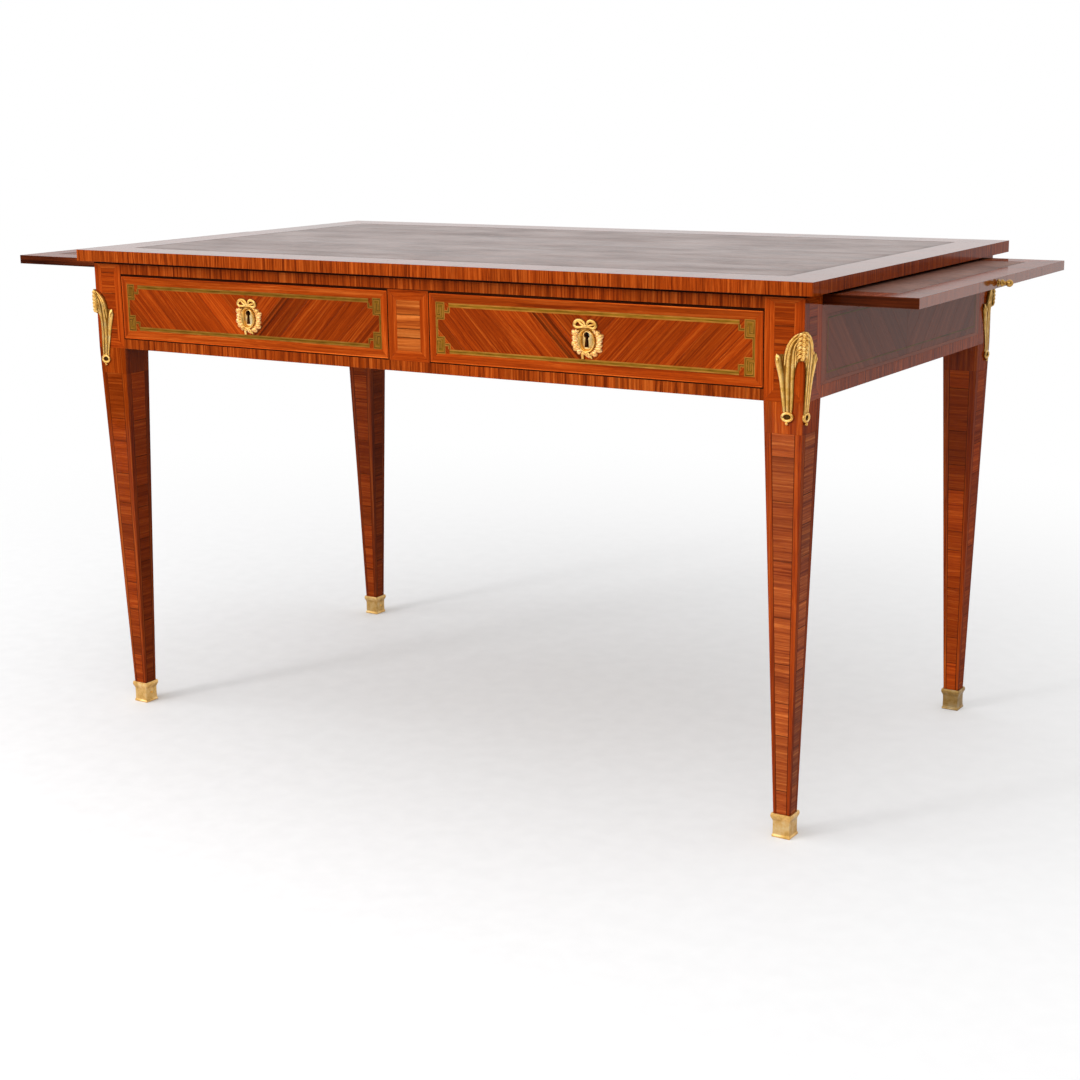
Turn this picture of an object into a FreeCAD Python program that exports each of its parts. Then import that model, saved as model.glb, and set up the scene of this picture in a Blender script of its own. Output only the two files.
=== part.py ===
import FreeCAD, Part
import math
import os

Vector = FreeCAD.Vector

# Whole table, in millimetres: X to the right, Y to the back, Z up, floor at Z 0
height = 770.0
top_length = 1300.0
top_depth = 740.0
top_thickness = 18.0
top_overhang = 19.0
apron_height = 141.0
apron_thickness = 20.0

# Square tapered legs and their gilt shoes
leg_width = 57.0
leg_depth = 53.5
foot_width = 24.5
sabot_height = 35.0
sabot_width = 25.5
sabot_wall = 2.3
sabot_sole = 3.0
sabot_collar_width = 30.5
sabot_collar_height = 7.0
sabot_collar_rise = 3.0
sabot_base_width = 27.5
sabot_base_height = 3.5
sabot_base_rise = 3.0

# Front frame round the drawers
frieze_rail_height = 21.0
lower_rail_height = 15.5
lower_rail_inset = 3.5
rail_thickness = 22.0
stile_width = 73.0

# Mortise and tenon joints of the frame
joint_fit = 0.1
tenon_length = 24.0
tenon_thickness = 10.0
tenon_shoulder = 9.0
rail_tenon_shoulder = 3.5
stub_length = 8.0
stub_thickness = 6.0
stub_shoulder = 12.0
runner_shoulder = 4.0
dovetail_length = 26.0
dovetail_root = 10.0
dovetail_spread = 2.5
dovetail_height = 15.0
peg_radius = 3.0
peg_setback = 11.0
peg_spread = 52.0
peg_stagger = 13.0
peg_end_cover = 4.0
dowel_radius = 4.0
dowel_in_top = 11.0
dowel_in_rail = 13.0
front_dowel_places = (150.0, 450.0)
back_dowel_places = (0.0, 300.0)

# Drawers and what they run on
run_clearance = 0.3
drawer_gap = 0.8
drawer_depth = 600.0
drawer_side_thickness = 11.0
drawer_back_thickness = 10.0
drawer_back_drop = 4.0
drawer_bottom_thickness = 6.0
drawer_bottom_rise = 8.0
drawer_groove = 5.0
drawer_lap = 6.0
tail_count = 3
tail_spread = 2.5
tail_gap = 7.0
kicker_gap = 2.0
runner_bearing = 20.0
centre_guide_height = 24.0
side_guide_height = 29.0
drawer_stop_length = 24.0
drawer_stop_depth = 14.0
drawer_stop_clearance = 2.0
drawer_stop_inset = 70.0

# Half-mortise drawer locks
lock_plate_width = 74.0
lock_plate_thickness = 2.0
lock_height = 74.0
lock_case_width = 56.0
lock_case_depth = 10.0
lock_case_rise = 8.0
lock_wall = 1.5
bolt_width = 20.0
bolt_thickness = 5.0
bolt_length = 40.0
bolt_shoulder_width = 34.0
bolt_shoulder_height = 22.0
bolt_drop = 0.5
bolt_throw = 7.0
keyhole_drop = 48.0
keyhole_radius = 3.4
keyhole_slot = 3.2
keyhole_tail = 16.0
key_pin_radius = 1.6
key_pin_inset = 4.0
screw_radius = 1.5
screw_head_radius = 3.0
screw_head_height = 1.4
screw_length = 9.0
screw_edge = 4.5
screw_margin = 10.0

# Key-fret stringing let into the drawer fronts
string_width = 5.4
string_depth = 1.0
string_end_margin = 12.0
string_edge_margin = 13.5
string_step = 1.8
key_width = 16.0
key_height = 26.0
key_gap = 5.0
key_hook = 12.0

# Gilt escutcheons
escutcheon_width = 54.0
escutcheon_height = 44.0
escutcheon_thickness = 2.5
escutcheon_drop = 8.0
dish_width = 29.0
dish_height = 33.0
dish_thickness = 5.0
bow_ring_radius = 8.0
bow_ring_hole = 3.6
bow_spread = 11.0
bow_rise = 23.0
bow_drop = 29.0
bow_drop_radius = 5.0
escutcheon_pin_radius = 0.9
escutcheon_pin_length = 6.0
escutcheon_pin_spread = 21.0

# Gilt corner mounts on the outer arris of each leg
mount_top_drop = 47.0
mount_height = 124.0
mount_thickness = 4.0
mount_reach = 36.5
mount_reach_drop = 32.0
mount_shoulder_reach = 18.5
mount_shoulder_drop = 13.0
mount_flank_reach = 29.0
mount_flank_drop = 72.0
mount_crotch_drop = 39.0
mount_inside_reach = 11.0
mount_inside_drop = 55.0
mount_bead_radius = 5.0
mount_bead_count = 6
mount_ring_radius = 8.0
mount_ring_hole = 3.6
mount_ring_place = 19.0
mount_tail_width = 12.0
mount_drop_radius = 2.2
mount_pin_place = 19.0
mount_pin_drop = 30.0
pin_radius = 1.0
pin_head_radius = 2.0
pin_head_height = 1.0
pin_length = 9.0
pin_fit = 0.05
sabot_pin_height = 16.0
sabot_pin_length = 6.0

# Leather panels
leather_border = 65.0
leather_thickness = 1.2
leather_gap = 0.3

# Writing slides that draw out of both ends, at the draw the table is shown with
slide_thickness = 14.0
slide_headroom = 4.0
slide_length = 560.0
slide_travel = 380.0
slide_side_gap = 2.5
slide_play = 0.6
slide_drawn = {"left": 233.0, "right": 132.0}
slide_leather_border = 45.0
slide_leather_length = 420.0
slide_ledge_width = 34.0
slide_ledge_thickness = 17.7
slide_stop_width = 120.0
slide_stop_length = 16.0
slide_stop_height = 12.0
slide_stop_clearance = 0.5

# Turned gilt knobs on the slides
knob_length = 21.5
knob_rose_radius = 5.4
knob_rose_thickness = 2.0
knob_neck_radius = 2.6
knob_collar_radius = 4.8
knob_collar_place = 7.5
knob_ball_radius = 6.2
knob_ball_place = 14.2
knob_shank_radius = 2.2
knob_shank_length = 16.0

# Planes that several pieces share
sides = {"left": -1, "right": 1}
ends = {"front": -1, "back": 1}
body_half_x = top_length / 2 - top_overhang
body_half_y = top_depth / 2 - top_overhang
top_under = height - top_thickness
apron_bottom = top_under - apron_height
opening_top = top_under - frieze_rail_height
opening_bottom = apron_bottom + lower_rail_height
leg_inner_x = body_half_x - leg_width
leg_inner_y = body_half_y - leg_depth
leg_axis_x = body_half_x - leg_width / 2
leg_axis_y = body_half_y - leg_depth / 2
apron_inner_x = body_half_x - apron_thickness
back_inner_y = body_half_y - apron_thickness
front_y = -body_half_y
rail_back_y = front_y + rail_thickness
rail_mid_y = front_y + rail_thickness / 2
lower_rail_back_y = -leg_inner_y - lower_rail_inset
stile_half = stile_width / 2
slide_top = top_under - slide_headroom
slide_bottom = slide_top - slide_thickness
slide_half_y = leg_inner_y - slide_side_gap
ledge_top = slide_bottom - run_clearance
ledge_bottom = ledge_top - slide_ledge_thickness
drawer_inner_x = stile_half + drawer_gap
drawer_outer_x = leg_inner_x - drawer_gap
drawer_mid_x = (drawer_inner_x + drawer_outer_x) / 2
front_top = opening_top - drawer_gap
front_bottom = opening_bottom + drawer_gap
front_mid_z = (front_top + front_bottom) / 2
side_bottom = opening_bottom + run_clearance
side_top = ledge_bottom - kicker_gap
bottom_under = side_bottom + drawer_bottom_rise
bottom_top = bottom_under + drawer_bottom_thickness
drawer_rear_y = front_y + drawer_depth
keyhole_z = front_top - keyhole_drop
escutcheon_z = keyhole_z - escutcheon_drop
lock_mid_y = rail_back_y - lock_plate_thickness - lock_case_depth / 2
mount_top = top_under - mount_top_drop
dowel_bottom = top_under - dowel_in_rail


def block(xs, ys, zs, grow=0.0):
    """A box between pairs of X, Y and Z, given in any order, grown on every side."""
    lows = [min(pair) - grow for pair in (xs, ys, zs)]
    highs = [max(pair) + grow for pair in (xs, ys, zs)]
    spans = [high - low for low, high in zip(lows, highs)]
    return Part.makeBox(*spans, Vector(*lows))


def rod(start, along, radius):
    """A round bar from a point along a vector."""
    direction = Vector(*along)
    return Part.makeCylinder(radius, direction.Length, Vector(*start), direction)


def prism(corners, along):
    """A flat outline of corner points pushed along a vector."""
    points = [Vector(*corner) for corner in corners]
    face = Part.Face(Part.makePolygon(points + points[:1]))
    return face.extrude(Vector(*along))


def square_stack(centre_x, centre_y, levels):
    """A solid of square or oblong sections, each level given as height, X width and Y width."""
    rings = []
    for level, width_x, width_y in levels:
        corners = [(-1, -1), (1, -1), (1, 1), (-1, 1)]
        rings.append([Vector(centre_x + a * width_x / 2, centre_y + b * width_y / 2, level)
                      for a, b in corners])
    faces = [Part.Face(Part.makePolygon(ring + ring[:1])) for ring in (rings[0], rings[-1])]
    for low, high in zip(rings, rings[1:]):
        for i in range(4):
            j = (i + 1) % 4
            faces.append(Part.Face(Part.makePolygon([low[i], low[j], high[j], high[i], low[i]])))
    return Part.makeSolid(Part.makeShell(faces))


def joined(shapes):
    """One solid from touching or crossing shapes."""
    return shapes[0].fuse(shapes[1:]).removeSplitter()


def without(shape, tools):
    """A shape with every tool cut out of it."""
    return shape.cut(tools).removeSplitter()


# Tenons, each used once as it is and once grown by the fit for its mortise
def side_apron_tenon(side, end, grow=0.0):
    mid_x = side * (body_half_x - apron_thickness / 2)
    return block((mid_x - tenon_thickness / 2, mid_x + tenon_thickness / 2),
                 (end * leg_inner_y, end * (leg_inner_y + tenon_length)),
                 (apron_bottom + tenon_shoulder, ledge_top - tenon_shoulder), grow)


def back_apron_tenon(side, grow=0.0):
    mid_y = body_half_y - apron_thickness / 2
    return block((side * leg_inner_x, side * (leg_inner_x + tenon_length)),
                 (mid_y - tenon_thickness / 2, mid_y + tenon_thickness / 2),
                 (apron_bottom + tenon_shoulder, top_under - dowel_in_rail - tenon_shoulder), grow)


def lower_rail_tenon(side, grow=0.0):
    return block((side * leg_inner_x, side * (leg_inner_x + tenon_length)),
                 (front_y + tenon_shoulder, lower_rail_back_y - tenon_shoulder),
                 (apron_bottom + rail_tenon_shoulder, opening_bottom - rail_tenon_shoulder), grow)


def upper_rail_dovetail(side, grow=0.0):
    root = dovetail_root / 2 + grow
    tip = root + dovetail_spread
    near = side * leg_inner_x
    far = side * (leg_inner_x + dovetail_length + grow)
    low = top_under - dovetail_height - grow
    return prism([(near, rail_mid_y - root, low), (far, rail_mid_y - tip, low),
                  (far, rail_mid_y + tip, low), (near, rail_mid_y + root, low)],
                 (0, 0, top_under - low))


def stile_tenon(level, way, grow=0.0):
    return block((-stile_half + stub_shoulder, stile_half - stub_shoulder),
                 (rail_mid_y - stub_thickness / 2, rail_mid_y + stub_thickness / 2),
                 (level, level + way * stub_length), grow)


def runner_tenon(xs, face_y, way, grow=0.0):
    mid_z = (apron_bottom + opening_bottom) / 2
    return block((min(xs) + runner_shoulder, max(xs) - runner_shoulder),
                 (face_y, face_y + way * stub_length),
                 (mid_z - stub_thickness / 2, mid_z + stub_thickness / 2), grow)


# Pegs, dowels and pins, each also used a little fatter as its own hole
def tenon_pegs(fit=0.0):
    pegs = []
    mid_z = (apron_bottom + ledge_top) / 2
    for side in sides.values():
        for way in (-1, 1):
            for end in ends.values():
                pegs.append(rod((side * leg_inner_x, end * (leg_inner_y + peg_setback),
                                 mid_z + way * peg_spread / 2),
                                (side * (leg_width - peg_end_cover), 0, 0), peg_radius + fit))
            pegs.append(rod((side * (leg_inner_x + peg_setback), leg_inner_y,
                             mid_z + peg_stagger + way * peg_spread / 2),
                            (0, leg_depth - peg_end_cover, 0), peg_radius + fit))
    return pegs


def top_dowels(fit=0.0):
    places = [(side * leg_axis_x, end * leg_axis_y)
              for side in sides.values() for end in ends.values()]
    places += [(side * place, rail_mid_y) for side in sides.values() for place in front_dowel_places]
    back_places = {side * place for side in sides.values() for place in back_dowel_places}
    places += [(place, body_half_y - apron_thickness / 2) for place in sorted(back_places)]
    return [rod((x, y, dowel_bottom), (0, 0, dowel_in_rail + dowel_in_top), dowel_radius + fit)
            for x, y in places]


def pin(point, outward, length, fit=0.0):
    """A small round-headed pin: the point is on the outer face that its head lies on."""
    out = Vector(*outward)
    base = Vector(*point)
    shank = rod(base - out * length, out * length, pin_radius + fit)
    if fit:
        return shank
    return shank.fuse(rod(base, out * pin_head_height, pin_head_radius)).removeSplitter()


def mount_pins(fit=0.0):
    pins = []
    pin_z = mount_top - mount_pin_drop
    place = mount_pin_place
    for side in sides.values():
        for end in ends.values():
            face_y = end * (body_half_y + mount_thickness)
            face_x = side * (body_half_x + mount_thickness)
            pins.append(pin((side * (body_half_x - place), face_y, pin_z), (0, end, 0), pin_length, fit))
            pins.append(pin((face_x, end * (body_half_y - place), pin_z), (side, 0, 0), pin_length, fit))
            pins.append(pin((side * (leg_axis_x - sabot_width / 2), end * leg_axis_y, sabot_pin_height),
                            (-side, 0, 0), sabot_pin_length, fit))
    return pins


# Carcass
def leg(side, end):
    tip_width = sabot_width - 2 * sabot_wall - 2 * joint_fit
    centre = (side * leg_axis_x, end * leg_axis_y)
    shaft = square_stack(*centre, [(sabot_height, foot_width, foot_width),
                                   (apron_bottom, leg_width, leg_depth),
                                   (top_under, leg_width, leg_depth)])
    tip = square_stack(*centre, [(sabot_sole, tip_width, tip_width),
                                 (sabot_height, tip_width, tip_width)])
    sockets = [side_apron_tenon(side, end, joint_fit)]
    if end == ends["front"]:
        sockets += [lower_rail_tenon(side, joint_fit), upper_rail_dovetail(side, joint_fit)]
    else:
        sockets.append(back_apron_tenon(side, joint_fit))
    sockets += tenon_pegs(pin_fit) + top_dowels(pin_fit) + mount_pins(pin_fit)
    return without(joined([shaft, tip]), sockets)


def sabot(side, end):
    centre = (side * leg_axis_x, end * leg_axis_y)
    collar_bottom = sabot_height - sabot_collar_height
    levels = [(0.0, sabot_base_width), (sabot_base_height, sabot_base_width),
              (sabot_base_height + sabot_base_rise, sabot_width),
              (collar_bottom - sabot_collar_rise, sabot_width),
              (collar_bottom, sabot_collar_width), (sabot_height, sabot_collar_width)]
    shell = square_stack(*centre, [(level, width, width) for level, width in levels])
    socket_width = sabot_width - 2 * sabot_wall
    socket = square_stack(*centre, [(sabot_sole, socket_width, socket_width),
                                    (sabot_height, socket_width, socket_width)])
    return without(shell, [socket] + mount_pins(pin_fit))


def mount_half(side, end, on_front):
    """One face of a corner mount: u runs from the arris along the face, z up it."""
    def point(u, z):
        if on_front:
            return Vector(side * (body_half_x - u), end * body_half_y, z)
        return Vector(side * body_half_x, end * (body_half_y - u), z)

    outward = Vector(0, end * mount_thickness, 0) if on_front else Vector(side * mount_thickness, 0, 0)
    ring_z = mount_top - mount_height + mount_ring_radius + 2 * mount_drop_radius
    widest_z = mount_top - mount_reach_drop
    crotch_z = mount_top - mount_crotch_drop
    tail_out = mount_ring_place + mount_tail_width / 2
    tail_in = mount_ring_place - mount_tail_width / 2
    shoulder = point(mount_shoulder_reach, mount_top - mount_shoulder_drop)
    flank = point(mount_flank_reach, mount_top - mount_flank_drop)
    inside = point(mount_inside_reach, mount_top - mount_inside_drop)
    corners = [point(-mount_thickness, mount_top), point(mount_reach, widest_z), point(tail_out, ring_z),
               point(tail_in, ring_z), point(0, crotch_z), point(-mount_thickness, crotch_z)]
    edges = [Part.Arc(corners[0], shoulder, corners[1]), Part.Arc(corners[1], flank, corners[2]),
             Part.LineSegment(corners[2], corners[3]), Part.Arc(corners[3], inside, corners[4]),
             Part.LineSegment(corners[4], corners[5]), Part.LineSegment(corners[5], corners[0])]
    plate = Part.Face(Part.Wire([edge.toShape() for edge in edges])).extrude(outward)
    ring = rod(point(mount_ring_place, ring_z), outward, mount_ring_radius)
    hole = rod(point(mount_ring_place, ring_z), outward, mount_ring_hole)
    drop_z = ring_z - mount_ring_radius - mount_drop_radius / 2
    drop = bead(mount_drop_radius, point(mount_ring_place, drop_z) + outward / 2, side, end)
    return joined([plate, ring, drop]).cut(hole)


def bead(radius, centre, side, end):
    """A ball whose seam is turned in towards the leg."""
    ball = Part.makeSphere(radius)
    ball.rotate(Vector(0, 0, 0), Vector(0, 0, 1), math.degrees(math.atan2(-end, -side)))
    ball.translate(centre)
    return ball


def corner_mount(side, end):
    spine = []
    bead_pitch = (mount_crotch_drop - 2 * mount_bead_radius) / (mount_bead_count - 1)
    for i in range(mount_bead_count):
        corner = Vector(side * (body_half_x + mount_thickness / 2),
                        end * (body_half_y + mount_thickness / 2),
                        mount_top - mount_bead_radius - i * bead_pitch)
        spine.append(bead(mount_bead_radius, corner, side, end))
    halves = [mount_half(side, end, on_front) for on_front in (True, False)]
    leg_block = block((side * leg_inner_x, side * body_half_x), (end * leg_inner_y, end * body_half_y),
                      (0, top_under))
    return without(joined(halves + spine), [leg_block] + mount_pins(pin_fit))


def top_panel():
    board = block((-top_length / 2, top_length / 2), (-top_depth / 2, top_depth / 2), (top_under, height))
    return without(board, [top_leather(leather_gap)] + top_dowels(pin_fit))


def top_leather(grow=0.0):
    half_x = top_length / 2 - leather_border + grow
    half_y = top_depth / 2 - leather_border + grow
    return block((-half_x, half_x), (-half_y, half_y), (height - leather_thickness, height))


def upper_front_rail():
    rail = block((-leg_inner_x, leg_inner_x), (front_y, rail_back_y), (opening_top, top_under))
    strikes = [strike_mortise(side) for side in sides.values()]
    whole = joined([rail] + [upper_rail_dovetail(side) for side in sides.values()])
    return without(whole, strikes + [stile_tenon(opening_top, 1, joint_fit)] + top_dowels(pin_fit))


def strike_mortise(side):
    """The pocket above a drawer's lock that its bolt shoots into."""
    mid_x = side * drawer_mid_x
    half_x = bolt_width / 2 + drawer_gap
    half_y = bolt_thickness / 2 + drawer_gap
    return block((mid_x - half_x, mid_x + half_x), (lock_mid_y - half_y, lock_mid_y + half_y),
                 (opening_top, opening_top + bolt_throw + drawer_gap))


def lower_front_rail():
    rail = block((-leg_inner_x, leg_inner_x), (front_y, lower_rail_back_y), (apron_bottom, opening_bottom))
    whole = joined([rail] + [lower_rail_tenon(side) for side in sides.values()])
    sockets = [stile_tenon(opening_bottom, -1, joint_fit)]
    sockets += [runner_tenon(xs, lower_rail_back_y, -1, joint_fit) for xs in runner_spans().values()]
    return without(whole, sockets)


def centre_stile():
    post = block((-stile_half, stile_half), (front_y, rail_back_y), (opening_bottom, opening_top))
    return joined([post, stile_tenon(opening_bottom, -1), stile_tenon(opening_top, 1)])


def back_apron():
    board = block((-leg_inner_x, leg_inner_x), (back_inner_y, body_half_y), (apron_bottom, top_under))
    whole = joined([board] + [back_apron_tenon(side) for side in sides.values()])
    sockets = [runner_tenon(xs, back_inner_y, 1, joint_fit) for xs in runner_spans().values()]
    return without(whole, sockets + tenon_pegs(pin_fit) + top_dowels(pin_fit))


def side_apron(side):
    board = block((side * apron_inner_x, side * body_half_x), (-leg_inner_y, leg_inner_y),
                  (apron_bottom, ledge_top))
    whole = joined([board] + [side_apron_tenon(side, end) for end in ends.values()])
    return without(whole, tenon_pegs(pin_fit))


def runner_spans():
    """The X span of each drawer runner: one at each end and a shared one in the middle."""
    middle = stile_half + runner_bearing
    return {"left": (-leg_inner_x, -leg_inner_x + runner_bearing), "centre": (-middle, middle),
            "right": (leg_inner_x - runner_bearing, leg_inner_x)}


def drawer_runner(xs):
    board = block(xs, (lower_rail_back_y, back_inner_y), (apron_bottom, opening_bottom))
    return joined([board, runner_tenon(xs, lower_rail_back_y, -1), runner_tenon(xs, back_inner_y, 1)])


def centre_guide():
    return block((-stile_half, stile_half), (rail_back_y, back_inner_y),
                 (opening_bottom, opening_bottom + centre_guide_height))


def side_guide(side):
    return block((side * leg_inner_x, side * apron_inner_x), (-leg_inner_y, leg_inner_y),
                 (apron_bottom, apron_bottom + side_guide_height))


def slide_guide(end):
    """A rebated rail under the top that carries and guides one edge of both slides."""
    wall = -rail_back_y if end == ends["front"] else back_inner_y
    face = slide_half_y + slide_play
    upright = block((-leg_inner_x, leg_inner_x), (end * wall, end * face), (ledge_bottom, top_under))
    ledge = block((-leg_inner_x, leg_inner_x), (end * face, end * (face - slide_ledge_width)),
                  (ledge_bottom, ledge_top))
    return joined([upright, ledge])


def drawer_stops():
    """Four blocks on the lower rail that the closed drawer fronts come to rest against."""
    stops = []
    near_y = rail_back_y + run_clearance
    for side in sides.values():
        for edge, way in ((drawer_inner_x, 1), (drawer_outer_x, -1)):
            start = side * (edge + way * drawer_stop_inset)
            stops.append(block((start, start + side * way * drawer_stop_length),
                               (near_y, near_y + drawer_stop_depth),
                               (opening_bottom, bottom_under - drawer_stop_clearance)))
    return stops


# Drawers
def tails(x_outer, x_inner, face_y, length, top_z, grow=0.0):
    """The dovetails that a drawer side sends through a board lying from face_y along length."""
    pitch = (top_z - bottom_top) / tail_count
    root = (pitch - tail_gap) / 2 - tail_spread + grow
    tip = root + tail_spread
    far_y = face_y + length + math.copysign(grow, length)
    near_x = x_inner + math.copysign(grow, x_inner - x_outer)
    far_x = x_outer - math.copysign(grow, x_inner - x_outer)
    shapes = []
    for i in range(tail_count):
        mid_z = bottom_top + pitch * (i + 0.5)
        shapes.append(prism([(far_x, face_y, mid_z - root), (far_x, far_y, mid_z - tip),
                             (far_x, far_y, mid_z + tip), (far_x, face_y, mid_z + root)],
                            (near_x - far_x, 0, 0)))
    return shapes


def drawer_edges(side):
    """Outer and inner face X of the drawer's two sides, the one beside the leg first."""
    thick = drawer_side_thickness
    return {"outer": (side * drawer_outer_x, side * (drawer_outer_x - thick)),
            "inner": (side * drawer_inner_x, side * (drawer_inner_x + thick))}


def front_tails(side, grow=0.0):
    return [tail for xs in drawer_edges(side).values()
            for tail in tails(*xs, rail_back_y, drawer_lap - rail_thickness, side_top, grow)]


def rear_tails(side, grow=0.0):
    face_y = drawer_rear_y - drawer_back_thickness
    return [tail for xs in drawer_edges(side).values()
            for tail in tails(*xs, face_y, drawer_back_thickness, side_top - drawer_back_drop, grow)]


def drawer_front(side):
    board = block((side * drawer_inner_x, side * drawer_outer_x), (front_y, rail_back_y),
                  (front_bottom, front_top))
    tools = front_tails(side, joint_fit) + lock_pockets(side) + keyhole(side, front_y, rail_back_y)
    tools += lock_screws(side, pin_fit) + escutcheon_pins(side, pin_fit)
    return without(board, tools + [drawer_bottom(side, joint_fit), stringing(side)])


def back_blank(side):
    return block((side * drawer_inner_x, side * drawer_outer_x),
                 (drawer_rear_y - drawer_back_thickness, drawer_rear_y),
                 (bottom_top, side_top - drawer_back_drop))


def drawer_side(side, which):
    xs = drawer_edges(side)[which]
    board = block(xs, (rail_back_y, drawer_rear_y), (side_bottom, side_top))
    pins_of_back = back_blank(side).cut(rear_tails(side))
    front = tails(*xs, rail_back_y, drawer_lap - rail_thickness, side_top)
    return without(joined([board] + front), [pins_of_back, drawer_bottom(side, joint_fit)])


def drawer_back(side):
    return without(back_blank(side), rear_tails(side, joint_fit))


def drawer_bottom(side, grow=0.0):
    inset = drawer_side_thickness - drawer_groove
    return block((side * (drawer_inner_x + inset - grow), side * (drawer_outer_x - inset + grow)),
                 (rail_back_y - drawer_groove - grow, drawer_rear_y),
                 (bottom_under - grow, bottom_top - joint_fit + grow))


def stringing(side):
    """The flush inlaid band round a drawer front, with a key fret in each corner."""
    half_u = (drawer_outer_x - drawer_inner_x) / 2 - string_end_margin
    half_v = (front_top - front_bottom) / 2 - string_edge_margin
    half = string_width / 2
    band_v = half_v - string_step - half
    top_v = half_v - half
    end_u = half_u - half
    key_u = half_u - key_width + half
    key_v = half_v - key_height + half
    hook_u = half_u - key_width - key_gap - half
    hook_v = half_v - key_hook - half
    band = [(0, band_v), (hook_u, band_v), (hook_u, hook_v), (key_u, hook_v)]
    key = [(key_u, key_v), (key_u, top_v), (end_u, top_v), (end_u, 0)]
    runs = list(zip(band, band[1:])) + list(zip(key, key[1:])) + [((key_u, key_v), (end_u, key_v))]
    mid_x = side * drawer_mid_x
    strips = []
    for flip_u in (-1, 1):
        for flip_v in (-1, 1):
            for (u0, v0), (u1, v1) in runs:
                xs = [mid_x + flip_u * u for u in (min(u0, u1) - half, max(u0, u1) + half)]
                zs = [front_mid_z + flip_v * v for v in (min(v0, v1) - half, max(v0, v1) + half)]
                strips.append(block(xs, (front_y, front_y + string_depth), zs))
    return joined(strips)


def escutcheon_pins(side, fit=0.0):
    return [rod((side * drawer_mid_x + way * escutcheon_pin_spread, front_y, escutcheon_z),
                (0, escutcheon_pin_length, 0), escutcheon_pin_radius + fit) for way in (-1, 1)]


def oval(centre, width, tall, thickness):
    """An upright oval plate whose back lies on the drawer front."""
    curve = Part.Ellipse(Vector(0, 0, 0), max(width, tall) / 2, min(width, tall) / 2)
    plate = Part.Face(Part.Wire([curve.toShape()])).extrude(Vector(0, 0, thickness))
    if tall > width:
        plate.rotate(Vector(0, 0, 0), Vector(0, 0, 1), 90)
    plate.rotate(Vector(0, 0, 0), Vector(1, 0, 0), 90)
    plate.translate(Vector(*centre))
    return plate


def escutcheon(side):
    centre = (side * drawer_mid_x, front_y, escutcheon_z)
    wreath = oval(centre, escutcheon_width, escutcheon_height, escutcheon_thickness)
    dish = oval(centre, dish_width, dish_height, dish_thickness)
    out = (0, -escutcheon_thickness, 0)
    loops = []
    holes = []
    for way in (-1, 1):
        middle = (centre[0] + way * bow_spread, front_y, escutcheon_z + bow_rise)
        loops.append(rod(middle, out, bow_ring_radius))
        holes.append(rod(middle, out, bow_ring_hole))
    knot_half = bow_spread - bow_ring_hole
    knot = block((centre[0] - knot_half, centre[0] + knot_half), (front_y, front_y - escutcheon_thickness),
                 (escutcheon_z, escutcheon_z + bow_rise))
    drop = rod((centre[0], front_y, escutcheon_z - bow_drop + bow_drop_radius), out, bow_drop_radius)
    tail = block((centre[0] - bow_drop_radius, centre[0] + bow_drop_radius), (front_y, front_y + out[1]),
                 (escutcheon_z - bow_drop + bow_drop_radius, escutcheon_z))
    whole = joined([wreath, dish, knot, drop, tail] + loops + escutcheon_pins(side))
    return without(whole, holes + keyhole(side, front_y - dish_thickness, front_y))


def keyhole(side, near_y, far_y):
    mid_x = side * drawer_mid_x
    eye = rod((mid_x, near_y, keyhole_z), (0, far_y - near_y, 0), keyhole_radius)
    slot = block((mid_x - keyhole_slot / 2, mid_x + keyhole_slot / 2), (near_y, far_y),
                 (keyhole_z - keyhole_tail, keyhole_z))
    return [eye, slot]


def lock_plate(side, grow=0.0):
    mid_x = side * drawer_mid_x
    return block((mid_x - lock_plate_width / 2, mid_x + lock_plate_width / 2),
                 (rail_back_y - lock_plate_thickness, rail_back_y),
                 (front_top - lock_height, front_top), grow)


def lock_box(side, grow=0.0):
    mid_x = side * drawer_mid_x
    inner_y = rail_back_y - lock_plate_thickness
    return block((mid_x - lock_case_width / 2, mid_x + lock_case_width / 2),
                 (inner_y - lock_case_depth, inner_y),
                 (front_top - lock_height + lock_case_rise, front_top), grow)


def lock_pockets(side):
    return [lock_plate(side, joint_fit), lock_box(side, joint_fit)]


def lock_case(side):
    mid_x = side * drawer_mid_x
    inner_y = rail_back_y - lock_plate_thickness
    half = lock_case_width / 2 - lock_wall
    cavity = block((mid_x - half, mid_x + half), (inner_y - lock_case_depth, inner_y),
                   (front_top - lock_height + lock_case_rise + lock_wall, front_top - lock_plate_thickness))
    slot_x = bolt_width / 2 + run_clearance
    slot_y = bolt_thickness / 2 + run_clearance
    slot = block((mid_x - slot_x, mid_x + slot_x), (lock_mid_y - slot_y, lock_mid_y + slot_y),
                 (front_top - lock_plate_thickness, front_top))
    shell = without(joined([lock_plate(side), lock_box(side)]), [cavity, slot] + lock_screws(side, pin_fit))
    key_pin = rod((mid_x, inner_y, keyhole_z), (0, front_y + key_pin_inset - inner_y, 0), key_pin_radius)
    return joined([shell, key_pin])


def lock_bolt(side):
    mid_x = side * drawer_mid_x
    top_z = front_top - bolt_drop
    ys = (lock_mid_y - bolt_thickness / 2, lock_mid_y + bolt_thickness / 2)
    head = block((mid_x - bolt_width / 2, mid_x + bolt_width / 2), ys, (top_z - bolt_length, top_z))
    shoulder = block((mid_x - bolt_shoulder_width / 2, mid_x + bolt_shoulder_width / 2), ys,
                     (top_z - bolt_length, top_z - bolt_length + bolt_shoulder_height))
    return joined([head, shoulder])


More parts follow.
